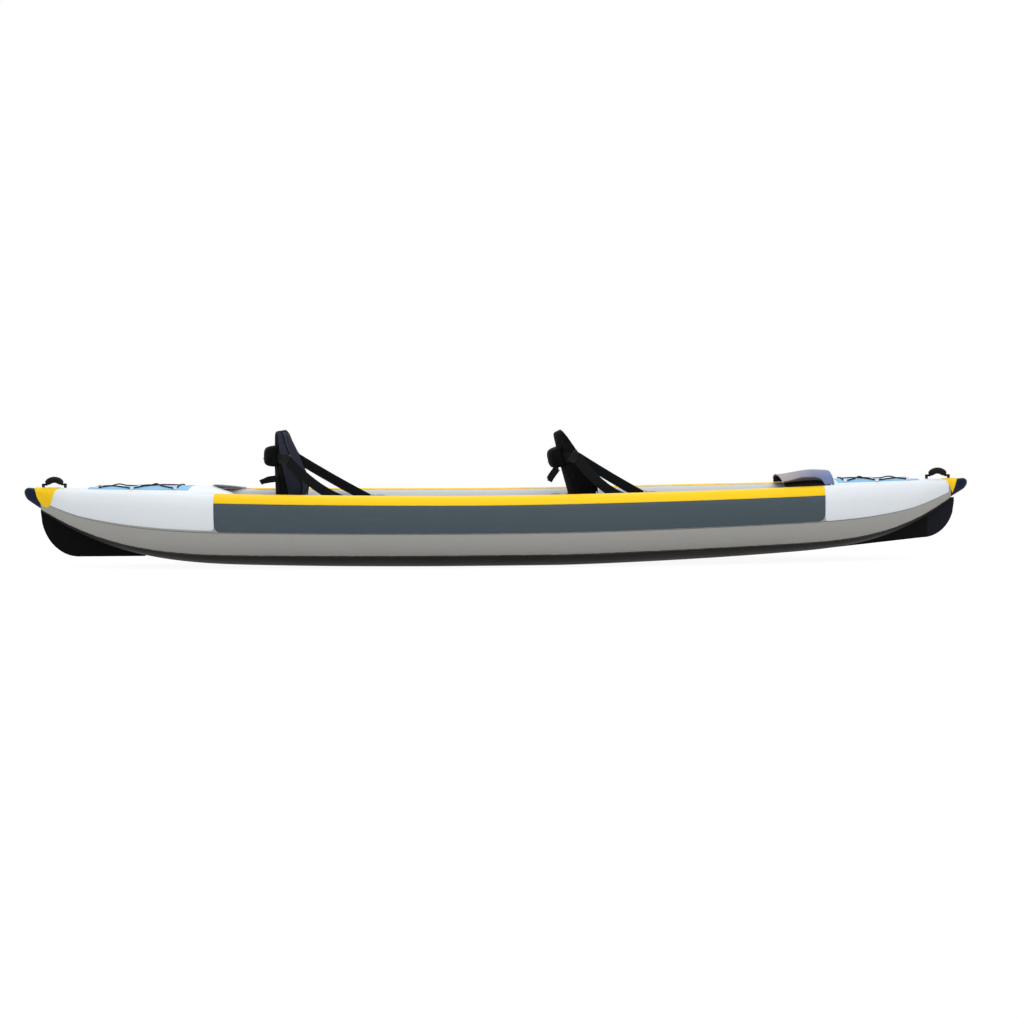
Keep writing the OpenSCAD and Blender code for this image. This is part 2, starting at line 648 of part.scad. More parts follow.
// An anchor outside each foot: a boss on the hinge axis with a web down to the hull
module anchors(length, drops) {
    color(black) for (k = [0, 1]) translate([(2 * k - 1) * (length + knuckle_len + anchor_len + 2 * gap) / 2, 0, 0]) {
        rotate([0, 90, 0]) cylinder(r = knuckle_r, h = anchor_len, center = true);
        translate([-anchor_len / 2, -knuckle_r, -drops[k]]) cube([anchor_len, 2 * knuckle_r, drops[k]]);
    }
}
bow_handle_x = body_half - 58;
stern_handle_x = 60 - body_half;
end_handle_len = 76;
end_handle_tall = 22;
grip_angle = 44;
function patch_top(x) = outer_pt(x, 3)[1] + patch_low + skin_thick;
function deck_top(x) = outer_pt(x, 3)[1] + gap + deck_thick;
function handle_top(x) = (x > 0 ? x < bow_patch_start - 8 : x > -stern_patch_start + 8) ? deck_top(x) : patch_top(x);
function end_axis(x) = patch_top(x) + handle_axis_h + grip_r - knuckle_r - 6;
anchor_off = (end_handle_len + knuckle_len + anchor_len + 2 * gap) / 2;
function anchor_drop(x, end) =
    end_axis(x) - 3 * gap - max(handle_top(x + end * anchor_off - 5), handle_top(x + end * anchor_off + 5));
module at_end_handle(x) { translate([x, 0, end_axis(x)]) children(); }
module bow_handle_strap() { at_end_handle(bow_handle_x) handle_strap(end_handle_len, end_handle_tall); }
module bow_handle_grip() { at_end_handle(bow_handle_x) handle_grip(end_handle_len, end_handle_tall, grip_angle); }
module stern_handle_strap() { at_end_handle(stern_handle_x) handle_strap(end_handle_len, end_handle_tall); }
module stern_handle_grip() { at_end_handle(stern_handle_x) handle_grip(end_handle_len, end_handle_tall, grip_angle); }

// Places on the inside of the port chamber: Z points away from the wall, X along it.
// The chamber runs straight between its stations, so these follow the same lines.
function station(x) = min(len(hull_xs) - 2, len([for (a = hull_xs) if (a <= x) a]) - 1);
function wall_line(x, v) =
    let (i = station(x), a = hull_xs[i], b = hull_xs[i + 1])
    mix(wall_pt(a, v), wall_pt(b, v), (x - a) / (b - a));
function wall_tilt(x, v) = let (n = normal(function(a, b) wall_line(a, b), x, v)) atan2(-n[0], n[1]);
function wall_place(x, v) = let (p = wall_line(x, v)) [x, p[0], p[1]];
function wall_yaw(x, v) = atan((wall_line(x + 10, v)[0] - wall_line(x - 10, v)[0]) / 20);
function wall_normal(x, v) =
    let (t = wall_tilt(x, v), y = wall_yaw(x, v)) [sin(t) * sin(y), -sin(t) * cos(y), cos(t)];
module on_wall(x, v) {
    translate(wall_place(x, v)) rotate([0, 0, wall_yaw(x, v)]) rotate([wall_tilt(x, v), 0, 0]) children();
}
// Round patches welded over the shoulder of the inner wall
ring_v = 3.06;
function face_len(x) = norm([inner_y(x) - foot_y(x), shoulder_z(x) - chine_z(x)]);
function run(x, v) = v < 3 ? (v - 3) * tube_r(x) * PI / 2 : (v - 3) * face_len(x);
function unrun(x, s) = s < 0 ? 3 + s / (tube_r(x) * PI / 2) : 3 + s / face_len(x);
module round_patch(x, r) {
    middle = run(x, ring_v);
    top = unrun(x, middle - 0.97 * r);
    foot = unrun(x, middle + 0.97 * r);
    vs = concat([top], [for (v = [2.625, 2.75, 2.875, 3]) if (v > top + 0.03) v],
                [for (q = [0.3, 0.6, 0.85, 1]) mix(3, foot, q)]);
    chord = function(v) sqrt(r * r - pow(run(x, v) - middle, 2));
    skin(function(a, b) wall_line(a, b), vs, function(v) x - chord(v), function(v) x + chord(v), 4,
         gap, gap + patch_thick);
}

side_handle_x = front_hinge_x - 299;
side_handle_len = 143;
side_handle_tall = 34;
side_handle_r = 46;
side_handle_hang = 82;
side_axis_h = gap + patch_thick + handle_axis_h;
side_drop = handle_axis_h - 2 * gap;
// The anchors stand on the patches, so the strap between them is shorter than their spacing
side_strap_len = side_handle_len - knuckle_len - anchor_len;
module at_side_handle() { on_wall(side_handle_x, ring_v) translate([0, 0, side_axis_h]) children(); }
module side_handle() {
    at_side_handle() rotate([side_handle_hang, 0, 0]) handle_strap(side_strap_len, side_handle_tall);
}
module port_side_handle() { side_handle(); }
module starboard_side_handle() { mirror([0, 1, 0]) side_handle(); }
module side_handle_patches() {
    color(yellow) both_sides() for (end = [-1, 1])
        round_patch(side_handle_x + end * side_handle_len / 2, side_handle_r);
}
module handle_anchors() {
    for (x = [bow_handle_x, stern_handle_x])
        at_end_handle(x) anchors(end_handle_len, [anchor_drop(x, -1), anchor_drop(x, 1)]);
    both_sides() at_side_handle() anchors(side_strap_len, [side_drop, side_drop]);
}

// Valves: a cup let into a chamber, with a sprung plunger under a twist cap
cup_wall = 5;
cup_depth = 38;
cup_floor = 6;
flange_r = 28;
flange_h = 3;
stem_r = 3;
head_r = 11;
head_z = -14;
head_h = 4;
stem_end = -44;
spring_r = 5.5;
cap_r = 24;
cap_h = 7;
well_r = 9;
well_depth = 58;
floor_valve_at = ["floor", 172 - stern_deck_edge];
side_valve_at = ["side", rear_hinge_x + 700];
side_valve_v = 3.5;
function flange_seat(x, r) = max(floor_line(x - r), floor_line(x + r)) + gap / 2;
module at_valve(place) {
    if (place[0] == "floor") translate([place[1], 0, flange_seat(place[1], flange_r)]) children();
    if (place[0] == "side") on_wall(place[1], side_valve_v) translate([0, 0, gap]) children();
}
module at_side_valve(side) {
    if (side > 0) at_valve(side_valve_at) children();
    if (side < 0) mirror([0, 1, 0]) at_valve(side_valve_at) children();
}
module valve_pocket(place) {
    at_valve(place) {
        translate([0, 0, -cup_depth - gap]) cylinder(r = valve_bore + cup_wall + gap, h = cup_depth + gap + over);
        translate([0, 0, -well_depth]) cylinder(r = well_r, h = well_depth);
    }
}
module valve_body() {
    difference() {
        union() {
            translate([0, 0, gap]) cylinder(r = flange_r, h = flange_h);
            translate([0, 0, -cup_depth]) cylinder(r = valve_bore + cup_wall, h = cup_depth + flange_h);
        }
        translate([0, 0, cup_floor - cup_depth]) cylinder(r = valve_bore, h = cup_depth + flange_h);
        translate([0, 0, -cup_depth - over]) cylinder(r = stem_r + gap, h = cup_floor + 2 * over);
        for (k = [0:3]) rotate(90 * k) translate([stem_r + 5.5, 0, -cup_depth - over])
            cylinder(r = 2.5, h = cup_floor + 2 * over, $fn = 24);
    }
}
module valve_plunger() {
    color(yellow) {
        translate([0, 0, stem_end]) cylinder(r = stem_r, h = head_z - stem_end + head_h / 2);
        translate([0, 0, head_z]) cylinder(r = head_r, h = head_h);
    }
}
module valve_spring() {
    translate([0, 0, cup_floor - cup_depth + gap]) difference() {
        cylinder(r = spring_r, h = head_z - cup_floor + cup_depth - 2 * gap);
        translate([0, 0, -over]) cylinder(r = stem_r + gap, h = cup_depth);
    }
}
module valve_cap() {
    color(black) translate([0, 0, gap + flange_h + gap]) {
        cylinder(r = cap_r, h = cap_h);
        translate([-cap_r * 0.8, -3, cap_h - 1]) cube([cap_r * 1.6, 6, 6]);
        translate([0, 0, -8]) cylinder(r = valve_bore - gap, h = 9);
    }
}
module valve_bodies() {
    color(charcoal) {
        at_valve(floor_valve_at) valve_body();
        at_side_valve(1) valve_body();
        at_side_valve(-1) valve_body();
    }
}
module valve_springs() {
    color(steel) {
        at_valve(floor_valve_at) valve_spring();
        at_side_valve(1) valve_spring();
        at_side_valve(-1) valve_spring();
    }
}
module floor_valve_plunger() { at_valve(floor_valve_at) valve_plunger(); }
module port_valve_plunger() { at_side_valve(1) valve_plunger(); }
module starboard_valve_plunger() { at_side_valve(-1) valve_plunger(); }
module floor_valve_cap() { at_valve(floor_valve_at) valve_cap(); }
module port_valve_cap() { at_side_valve(1) valve_cap(); }
module starboard_valve_cap() { at_side_valve(-1) valve_cap(); }

// Drain: a flanged tube through the floor and the bottom, with a twist plug
drain_x = 87 - stern_deck_edge;
drain_wall = 4;
drain_flange_r = 26;
module drain_hole() {
    translate([drain_x, 0, -over]) cylinder(r = drain_bore + drain_wall + gap, h = gunwale_h);
}
drain_foot = bottom_z(drain_x) + 3;
drain_top = flange_seat(drain_x, drain_flange_r) + gap + flange_h;
module drain_fitting() {
    color(charcoal) difference() {
        union() {
            translate([drain_x, 0, drain_foot]) cylinder(r = drain_bore + drain_wall, h = drain_top - drain_foot);
            translate([drain_x, 0, drain_top - flange_h]) cylinder(r = drain_flange_r, h = flange_h);
        }
        translate([drain_x, 0, -over]) cylinder(r = drain_bore, h = gunwale_h);
    }
}
module drain_plug() {
    color(black) translate([drain_x, 0, drain_top + gap]) {
        cylinder(r = drain_flange_r - 5, h = 6);
        translate([-15, -3, 5]) cube([30, 6, 8]);
        translate([0, 0, -22]) cylinder(r = drain_bore - gap, h = 23);
    }
}

// Seats: a cushion on the mat, and a backrest hinged at a welt behind it
function mat_top(x) = floor_line(x) + gap + mat_thick;
hinge_over = 10;
function hinge_z(hx) = mat_top(hx) + cushion_h + hinge_over;
welt_r = 7;
welt_len = cushion_w - 40;
cushion_back = welt_r + 2 * gap;
function soft(a, power) = sign(a) * pow(abs(a), power);
module cushion(hx) {
    rings = [for (q = [-0.995, -0.98, -0.93, -0.8, -0.5, 0, 0.5, 0.8, 0.93, 0.98, 0.995]) let (
        full = pow(1 - pow(abs(q), 8), 0.3), x = hx + cushion_back + cushion_len * (1 + q) / 2,
        wide = (cushion_w / 2) * (0.93 + 0.07 * full), tall = cushion_h / 2 * (0.25 + 0.75 * full))
        [for (k = [0:19]) let (a = 18 * k, y = wide * soft(cos(a), 0.45), z = tall * soft(sin(a), 0.6))
            [x, y, mat_top(x) + gap + tall + z]]];
    color(black) loft(rings);
}
module rear_seat_cushion() { cushion(rear_hinge_x); }
module front_seat_cushion() { cushion(front_hinge_x); }

// A backrest in its own frame: X forward, Z up its slope, the hinge at the origin
back_start = welt_r + gap + 0.05;
function back_u(s, t) = mix(back_start + wing_rise * pow(abs(s), 3), back_len, t);
function back_half(t) = back_w / 2 * (0.88 + 0.12 * ease(t / 0.3)) * (1 - 0.3 * ease((t - 0.6) / 0.4))
    * sqrt(1 - 0.5 * pow(max(0, (t - 0.9) / 0.1), 2));
function back_middle(y, t) = mix(back_wrap_foot, back_wrap, ease(t / 0.75)) * pow(y / (back_w / 2), 2);
function back_depth(s, t) = back_thick * (0.4 + 0.6 * ease(t / 0.16)) * (1 - 0.3 * ease((t - 0.6) / 0.4))
    * sqrt(1 - 0.75 * pow(abs(s), 4)) * sqrt(1 - 0.7 * pow(max(0, (t - 0.94) / 0.06), 2));
function back_face(s, t, side) =
    let (y = back_half(t) * s) [back_middle(y, t) + side * back_depth(s, t) / 2, y, back_u(s, t)];
back_ss = [for (q = steps(12)) soft(2 * q - 1, 0.85)];
back_ts = [0, 0.05, 0.12, 0.2, 0.35, 0.5, 0.62, 0.72, 0.8, 0.87, 0.92, 0.96, 0.985, 1];
module backrest_pad() {
    color(charcoal) loft([for (t = back_ts) concat(
        [for (s = back_ss) back_face(s, t, 1)],
        reversed([for (s = back_ss) back_face(s, t, -1)]))], true);
}
module on_back(hx, lean) { translate([hx, 0, hinge_z(hx)]) rotate([0, -lean, 0]) children(); }
module rear_backrest() { on_back(rear_hinge_x, rear_lean) backrest_pad(); }
module front_backrest() { on_back(front_hinge_x, front_lean) backrest_pad(); }

// The rolled pouch on the back of a backrest
pouch_ts = [0.6, 0.83];
pouch_half = 130;
pouch_deep = 50;
pouch_off = 1.75;
module pouch() {
    color(black) loft([for (q = [0.015, 0.06, 0.18, 0.4, 0.6, 0.82, 0.94, 0.985]) let (
        t = mix(pouch_ts[0], pouch_ts[1], q), round = pow(1 - pow(abs(2 * q - 1), 3), 0.4)) concat(
        [for (s = [-1:0.2:1]) pouch_pt(s, t, 0)],
        reversed([for (s = [-1:0.2:1]) pouch_pt(s, t, pouch_deep * round * pow(1.02 - pow(abs(s), 6), 0.4))]))],
        true);
}
// Rows of equal height: back_u turned round
function back_t(s, u) = let (foot = back_start + wing_rise * pow(abs(s), 3)) (u - foot) / (back_len - foot);
function pouch_pt(s, t, deep) =
    let (y = pouch_half * s, a = y / back_half(t), f = back_face(a, back_t(a, back_u(0, t)), -1))
    [f[0] - pouch_off - deep, y, f[2]];
module rear_seat_pouch() { on_back(rear_hinge_x, rear_lean) pouch(); }
module front_seat_pouch() { on_back(front_hinge_x, front_lean) pouch(); }

module seat_welt(hx) {
    web_foot = mat_top(hx + 2) + gap;
    translate([hx, 0, hinge_z(hx)]) rotate([90, 0, 0]) cylinder(r = welt_r, h = welt_len, center = true);
    translate([hx - 2, -welt_len / 2, web_foot]) cube([4, welt_len, hinge_z(hx) - web_foot]);
}
module seat_welts() {
    color(black) {
        seat_welt(rear_hinge_x);
        seat_welt(front_hinge_x);
    }
}

// Rings, clips and straps, port side. A frame is made from a way x and a rough up z.
module frame_at(p, way, up) {
    a = unit(way);
    b = unit(cross(up, a));
    c = cross(a, b);
    multmatrix([[a[0], b[0], c[0], p[0]], [a[1], b[1], c[1], p[1]], [a[2], b[2], c[2], p[2]]]) children();
}
tab_half = ring_wire + 1.5;
tab_w = 20;
tab_len = 22;
tab_fore = 5;
clip_r = 7;
clip_wire = 1.8;
eye_len = 14;
eye_h = 5;
barrel_r = 4.5;
barrel_len = 18;
clip_at = ring_bow - ring_wire - gap + clip_r - clip_wire;
barrel_at = clip_at + clip_r - clip_wire / 2;
eye_at = barrel_at + barrel_len;
clip_len = eye_at + eye_len;
function ring_place(x) =
    wall_place(x, ring_v) + wall_normal(x, ring_v) * (gap + patch_thick + 2 * gap + tab_half);
module ring_tab(x, way) {
    n = wall_normal(x, ring_v);
    color(black) frame_at(ring_place(x), way - n * (way * n), n) difference() {
        translate([tab_fore - tab_len, -tab_w / 2, -tab_half]) cube([tab_len, tab_w, 2 * tab_half]);
        rotate([90, 0, 0]) cylinder(r = ring_wire + gap, h = tab_w + over, center = true);
    }
}
module strap_ring(x, way) {
    color(steel) frame_at(ring_place(x), way, wall_normal(x, ring_v)) {
        rotate([0, 0, -90]) rotate_extrude(angle = 180) translate([ring_bow, 0]) circle(r = ring_wire, $fn = 24);
        rotate([90, 0, 0]) cylinder(r = ring_wire, h = 2 * ring_bow, center = true, $fn = 24);
        for (end = [-1, 1]) translate([0, end * ring_bow, 0]) sphere(r = ring_wire, $fn = 24);
    }
}
module strap_hook(x, way, across) {
    p = ring_place(x);
    color(brass) {
        frame_at(p, way, wall_normal(x, ring_v)) {
            translate([clip_at, 0, 0]) rotate([90, 0, 0]) difference() {
                cylinder(r = clip_r + clip_wire, h = 2 * clip_wire, center = true);
                cylinder(r = clip_r - clip_wire, h = 2 * clip_wire + over, center = true);
            }
            translate([barrel_at, 0, 0]) rotate([0, 90, 0]) cylinder(r = barrel_r, h = barrel_len + 3);
        }
        frame_at(p, way, cross(way, across)) translate([eye_at + eye_len / 2, 0, 0]) difference() {
            cube([eye_len, strap_w + 8, eye_h], center = true);
            translate([2, 0, 0]) cube([5, strap_w + 1, eye_h + over], center = true);
        }
    }
}

// Where the straps meet the backrest
buckle_t = 0.6;
buckle_f = -26;
buckle_len = 30;
buckle_h = 7;
buckle_off = 8.5;
rear_tie_t = 0.2;
rear_tie_s = 0.62;
tie_off = 3.4;
function back_world(hx, lean, p) =
    [hx + p[0] * cos(lean) - p[2] * sin(lean), p[1], hinge_z(hx) + p[0] * sin(lean) + p[2] * cos(lean)];
function buckle_place(hx, lean) = back_world(hx, lean,
    back_face(1, buckle_t, 0) + [buckle_f, buckle_off, 0]);
function ring_ahead(hx) = hx + (hx == front_hinge_x ? front_seat_reach : rear_seat_reach);
function front_way(hx, lean) = buckle_place(hx, lean) - ring_place(ring_ahead(hx));
function rear_tie(hx, lean) = back_world(hx, lean, back_face(rear_tie_s, rear_tie_t, -1) - [tie_off, 0, 0]);
function rear_way(hx, lean) = rear_tie(hx, lean) - ring_place(hx - rear_ring_reach);
module buckle(hx, lean) {
    way = -front_way(hx, lean);
    color(charcoal) frame_at(buckle_place(hx, lean), way, cross(way, [0, 0, 1])) difference() {
        cube([buckle_len, strap_w + 8, buckle_h], center = true);
        for (x = [-8, 0, 8]) translate([x, 0, 0]) cube([4, strap_w + 1, buckle_h + over], center = true);
    }
}
// A webbing band along a path, its width turning from one way to another as it goes
module band(path, first, last, width = strap_w) {
    n = len(path);
    loft([for (i = [0:n - 1]) let (
        t = unit(path[min(n - 1, i + 1)] - path[max(0, i - 1)]), across = mix(first, last, ease(i / (n - 1))),
        w = unit(across - t * (across * t)), o = cross(t, w), a = w * width / 2, b = o * strap_thick / 2)
        [path[i] - a - b, path[i] + a - b, path[i] + a + b, path[i] - a + b]]);
}
strap_sag = 14;
strap_end = 8;
function front_strap_path(hx, lean) =
    let (way = unit(-front_way(hx, lean)), from = buckle_place(hx, lean) + way * (buckle_len / 2 + gap),
         to = ring_place(ring_ahead(hx)) - way * (clip_len + gap))
    concat([from], [for (q = steps(8)) mix(from + way * strap_end, to - way * strap_end, q)
                       - [0, 0, strap_sag * 4 * q * (1 - q)]], [to]);
function rear_strap_path(hx, lean) =
    let (way = unit(rear_way(hx, lean)), from = rear_tie(hx, lean),
         to = ring_place(hx - rear_ring_reach) + way * (clip_len + gap))
    [for (q = steps(6)) mix(from, to, q)];
module seat_straps(hx, lean) {
    color(black) both_sides() {
        band(front_strap_path(hx, lean), [0, 0, 1], [0, 0, 1]);
        band(rear_strap_path(hx, lean), [-sin(lean), 0, cos(lean)], [0, 0, 1]);
    }
}
// The loose ends of the webbing, on edge behind the backrest, turned down at their tips
tail_w = 24;
tail_tip = 12;
tail_s = 0.55;
tail_t = 0.42;
function tail_path(hx, lean, off, length, drop) =
    let (a = back_world(hx, lean, back_face(tail_s, tail_t, -1) - [off, 0, 0]), way = [-cos(drop), 0, -sin(drop)])
    concat([for (q = steps(4)) a + way * (length - tail_tip) * q],
           [a + way * (length - tail_tip / 3) - [0, 0, tail_tip / 4], a + way * length - [0, 0, tail_tip]]);
module strap_tails(hx, lean, off, length, drop) {
    color(black) both_sides() band(tail_path(hx, lean, off, length, drop), [-sin(drop), 0, cos(drop)],
                                   [-sin(drop), 0, cos(drop)], tail_w);
}
module rear_strap_tails() { strap_tails(rear_hinge_x, rear_lean, 2.1, 86, 12); }
module front_strap_tails() { strap_tails(front_hinge_x, front_lean, 6.6, 66, 48); }
module rear_seat_straps() { seat_straps(rear_hinge_x, rear_lean); }
module front_seat_straps() { seat_straps(front_hinge_x, front_lean); }
module rear_seat_buckles() { both_sides() buckle(rear_hinge_x, rear_lean); }
module front_seat_buckles() { both_sides() buckle(front_hinge_x, front_lean); }

// Every ring: its place along the hull, the way its strap leaves it, and the strap's width
seat_list = [[rear_hinge_x, rear_lean], [front_hinge_x, front_lean]];
ring_list = [for (s = seat_list) each [
    [ring_ahead(s[0]), front_way(s[0], s[1]), [0, 0, 1]],
    [s[0] - rear_ring_reach, rear_way(s[0], s[1]), [0, 0, 1]]]];
module ring_patches() { color(patch_grey) both_sides() for (r = ring_list) round_patch(r[0], patch_r); }
module ring_tabs() { both_sides() for (r = ring_list) ring_tab(r[0], r[1]); }
module strap_rings() { both_sides() for (r = ring_list) strap_ring(r[0], r[1]); }
module strap_hooks() { both_sides() for (r = ring_list) strap_hook(r[0], r[1], r[2]); }

hull_bottom();
floor_chamber();
floor_mat();
starboard_side_chamber();
port_side_chamber();
starboard_rub_panel();
port_rub_panel();
starboard_gunwale_strip();
port_gunwale_strip();
bow_deck();
stern_deck();
deck_side_panels();
deck_inserts();
splash_guard();
splash_guard_lining();
bow_nose_cap();
stern_nose_cap();
bow_end_patch();
stern_end_patch();
bow_skeg();
stern_skeg();
bow_lacing();
stern_lacing();
lacing_loops();
handle_anchors();
bow_handle_strap();
bow_handle_grip();
stern_handle_strap();
stern_handle_grip();
ring_patches();
ring_tabs();
strap_rings();
side_handle_patches();
starboard_side_handle();
port_side_handle();
valve_bodies();
valve_springs();
floor_valve_plunger();
starboard_valve_plunger();
port_valve_plunger();
floor_valve_cap();
starboard_valve_cap();
port_valve_cap();
drain_fitting();
drain_plug();
rear_seat_cushion();
front_seat_cushion();
rear_backrest();
front_backrest();
rear_seat_pouch();
front_seat_pouch();
rear_seat_buckles();
front_seat_buckles();
rear_seat_straps();
front_seat_straps();
rear_strap_tails();
front_strap_tails();
strap_hooks();
seat_welts();
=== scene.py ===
"""Looks of an inflatable two-seat kayak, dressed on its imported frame.

Lengths are in metres. X runs from stern to bow, Y to port and Z up.
"""
import logging
import math
from dataclasses import dataclass, field
from enum import Enum
from typing import Callable, Optional, Sequence, Union

import bpy
import numpy as np
from mathutils import Matrix, Vector


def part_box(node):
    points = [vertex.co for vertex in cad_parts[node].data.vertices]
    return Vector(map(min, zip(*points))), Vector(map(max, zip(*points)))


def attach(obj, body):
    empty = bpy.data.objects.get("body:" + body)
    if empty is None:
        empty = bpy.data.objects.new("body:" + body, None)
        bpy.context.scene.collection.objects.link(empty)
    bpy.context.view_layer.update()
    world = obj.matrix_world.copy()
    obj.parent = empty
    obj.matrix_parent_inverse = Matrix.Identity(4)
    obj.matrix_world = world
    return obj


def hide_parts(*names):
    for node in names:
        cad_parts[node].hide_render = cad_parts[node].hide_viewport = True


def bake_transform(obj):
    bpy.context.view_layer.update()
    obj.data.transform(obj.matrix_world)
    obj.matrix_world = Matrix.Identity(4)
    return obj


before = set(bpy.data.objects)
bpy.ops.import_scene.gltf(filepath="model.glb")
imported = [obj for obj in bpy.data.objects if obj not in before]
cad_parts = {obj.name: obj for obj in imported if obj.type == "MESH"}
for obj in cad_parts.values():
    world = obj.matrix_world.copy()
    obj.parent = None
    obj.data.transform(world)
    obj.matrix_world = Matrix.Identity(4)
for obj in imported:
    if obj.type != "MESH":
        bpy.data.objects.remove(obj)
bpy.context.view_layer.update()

Array = np.ndarray
Colour = tuple[float, float, float, float]
Number = Union[float, Array]
TURN = 2 * math.pi
UP = np.array([0, 0, 1.0])
log = logging.getLogger("kayak")


def mix(a: Number, b: Number, t: Number) -> Array:
    """A point t of the way from a to b."""
    return a + (b - a) * t


def ease(t: Number) -> Array:
    """A smooth step from 0 to 1."""
    t = np.clip(t, 0, 1)
    return t * t * (3 - 2 * t)


def soft(a: Number, power: float) -> Array:
    """A power that keeps the sign."""
    return np.sign(a) * np.abs(a) ** power


def unit(v: Array) -> Array:
    """Vectors along the last axis, at length 1."""
    return v / np.maximum(np.linalg.norm(v, axis=-1, keepdims=True), 1e-12)


def dense(lo: float, hi: float, step: float, edge: float = 0.012) -> Array:
    """Values from lo to hi, a step apart, and closer together next to both ends.

    Args:
        lo: First value.
        hi: Last value.
        step: Distance between the values in the middle.
        edge: How far from the ends the closer values reach.

    Returns:
        The values, rising.
    """
    near = edge * np.array([0, 0.08, 0.25, 0.55])
    middle = np.linspace(lo + edge, hi - edge, max(3, int((hi - lo) / step)))
    return np.concatenate([lo + near, middle, (hi - near)[::-1]])


def round_edge(distance: Array, width: float, least: float = 0.3) -> Array:
    """A quarter-round from least at distance 0 to 1 at the given width."""
    q = 1 - np.clip(distance / width, 0, 1)
    return least + (1 - least) * np.sqrt(1 - q * q)


def closed(grid: Array) -> Array:
    """A grid with its first column again behind its last."""
    return np.concatenate([grid, grid[:, :1]], 1)


def run_of(path: Array) -> Array:
    """The length along a path, at each of its points."""
    return np.concatenate([[0], np.cumsum(np.linalg.norm(np.diff(path, axis=0), axis=1))])


def srgb(r: float, g: float, b: float) -> Colour:
    """A colour picked as 0 to 255 screen values, made linear."""
    c = np.array([r, g, b]) / 255
    lin = np.where(c <= 0.04045, c / 12.92, ((c + 0.055) / 1.055) ** 2.4)
    return (*map(float, lin), 1.0)


class Field:
    """A value in a node tree, with arithmetic."""

    def __init__(self, graph: "Graph", socket: bpy.types.NodeSocket) -> None:
        """Wraps one output socket of a graph."""
        self.graph = graph
        self.socket = socket

    def math(self, operation: str, *others: "Value") -> "Field":
        """This value put through a Math node, with others behind it."""
        values = dict(enumerate((self, *others)))
        return self.graph.node("ShaderNodeMath", {"operation": operation}, values)

    def reflected(self, operation: str, other: "Value") -> "Field":
        """A Math node with the other value in front."""
        return self.graph.node("ShaderNodeMath", {"operation": operation}, {0: other, 1: self})

    def __add__(self, other: "Value") -> "Field":
        """Sum."""
        return self.math("ADD", other)

    __radd__ = __add__

    def __sub__(self, other: "Value") -> "Field":
        """Difference."""
        return self.math("SUBTRACT", other)

    def __rsub__(self, other: "Value") -> "Field":
        """Difference, reflected."""
        return self.reflected("SUBTRACT", other)

    def __mul__(self, other: "Value") -> "Field":
        """Product."""
        return self.math("MULTIPLY", other)

    __rmul__ = __mul__

    def __truediv__(self, other: "Value") -> "Field":
        """Quotient."""
        return self.math("DIVIDE", other)

    def __rtruediv__(self, other: "Value") -> "Field":
        """Quotient, reflected."""
        return self.reflected("DIVIDE", other)

    def sine(self) -> "Field":
        """Sine, in radians."""
        return self.math("SINE")

    def size(self) -> "Field":
        """Absolute value."""
        return self.math("ABSOLUTE")

    def step(self, lo: float, hi: float) -> "Field":
        """A smooth step from 0 at lo to 1 at hi."""
        return self.graph.node("ShaderNodeMapRange", {"interpolation_type": "SMOOTHSTEP"},
                               {"Value": self, "From Min": lo, "From Max": hi})


Value = Union[Field, float, Sequence[float]]


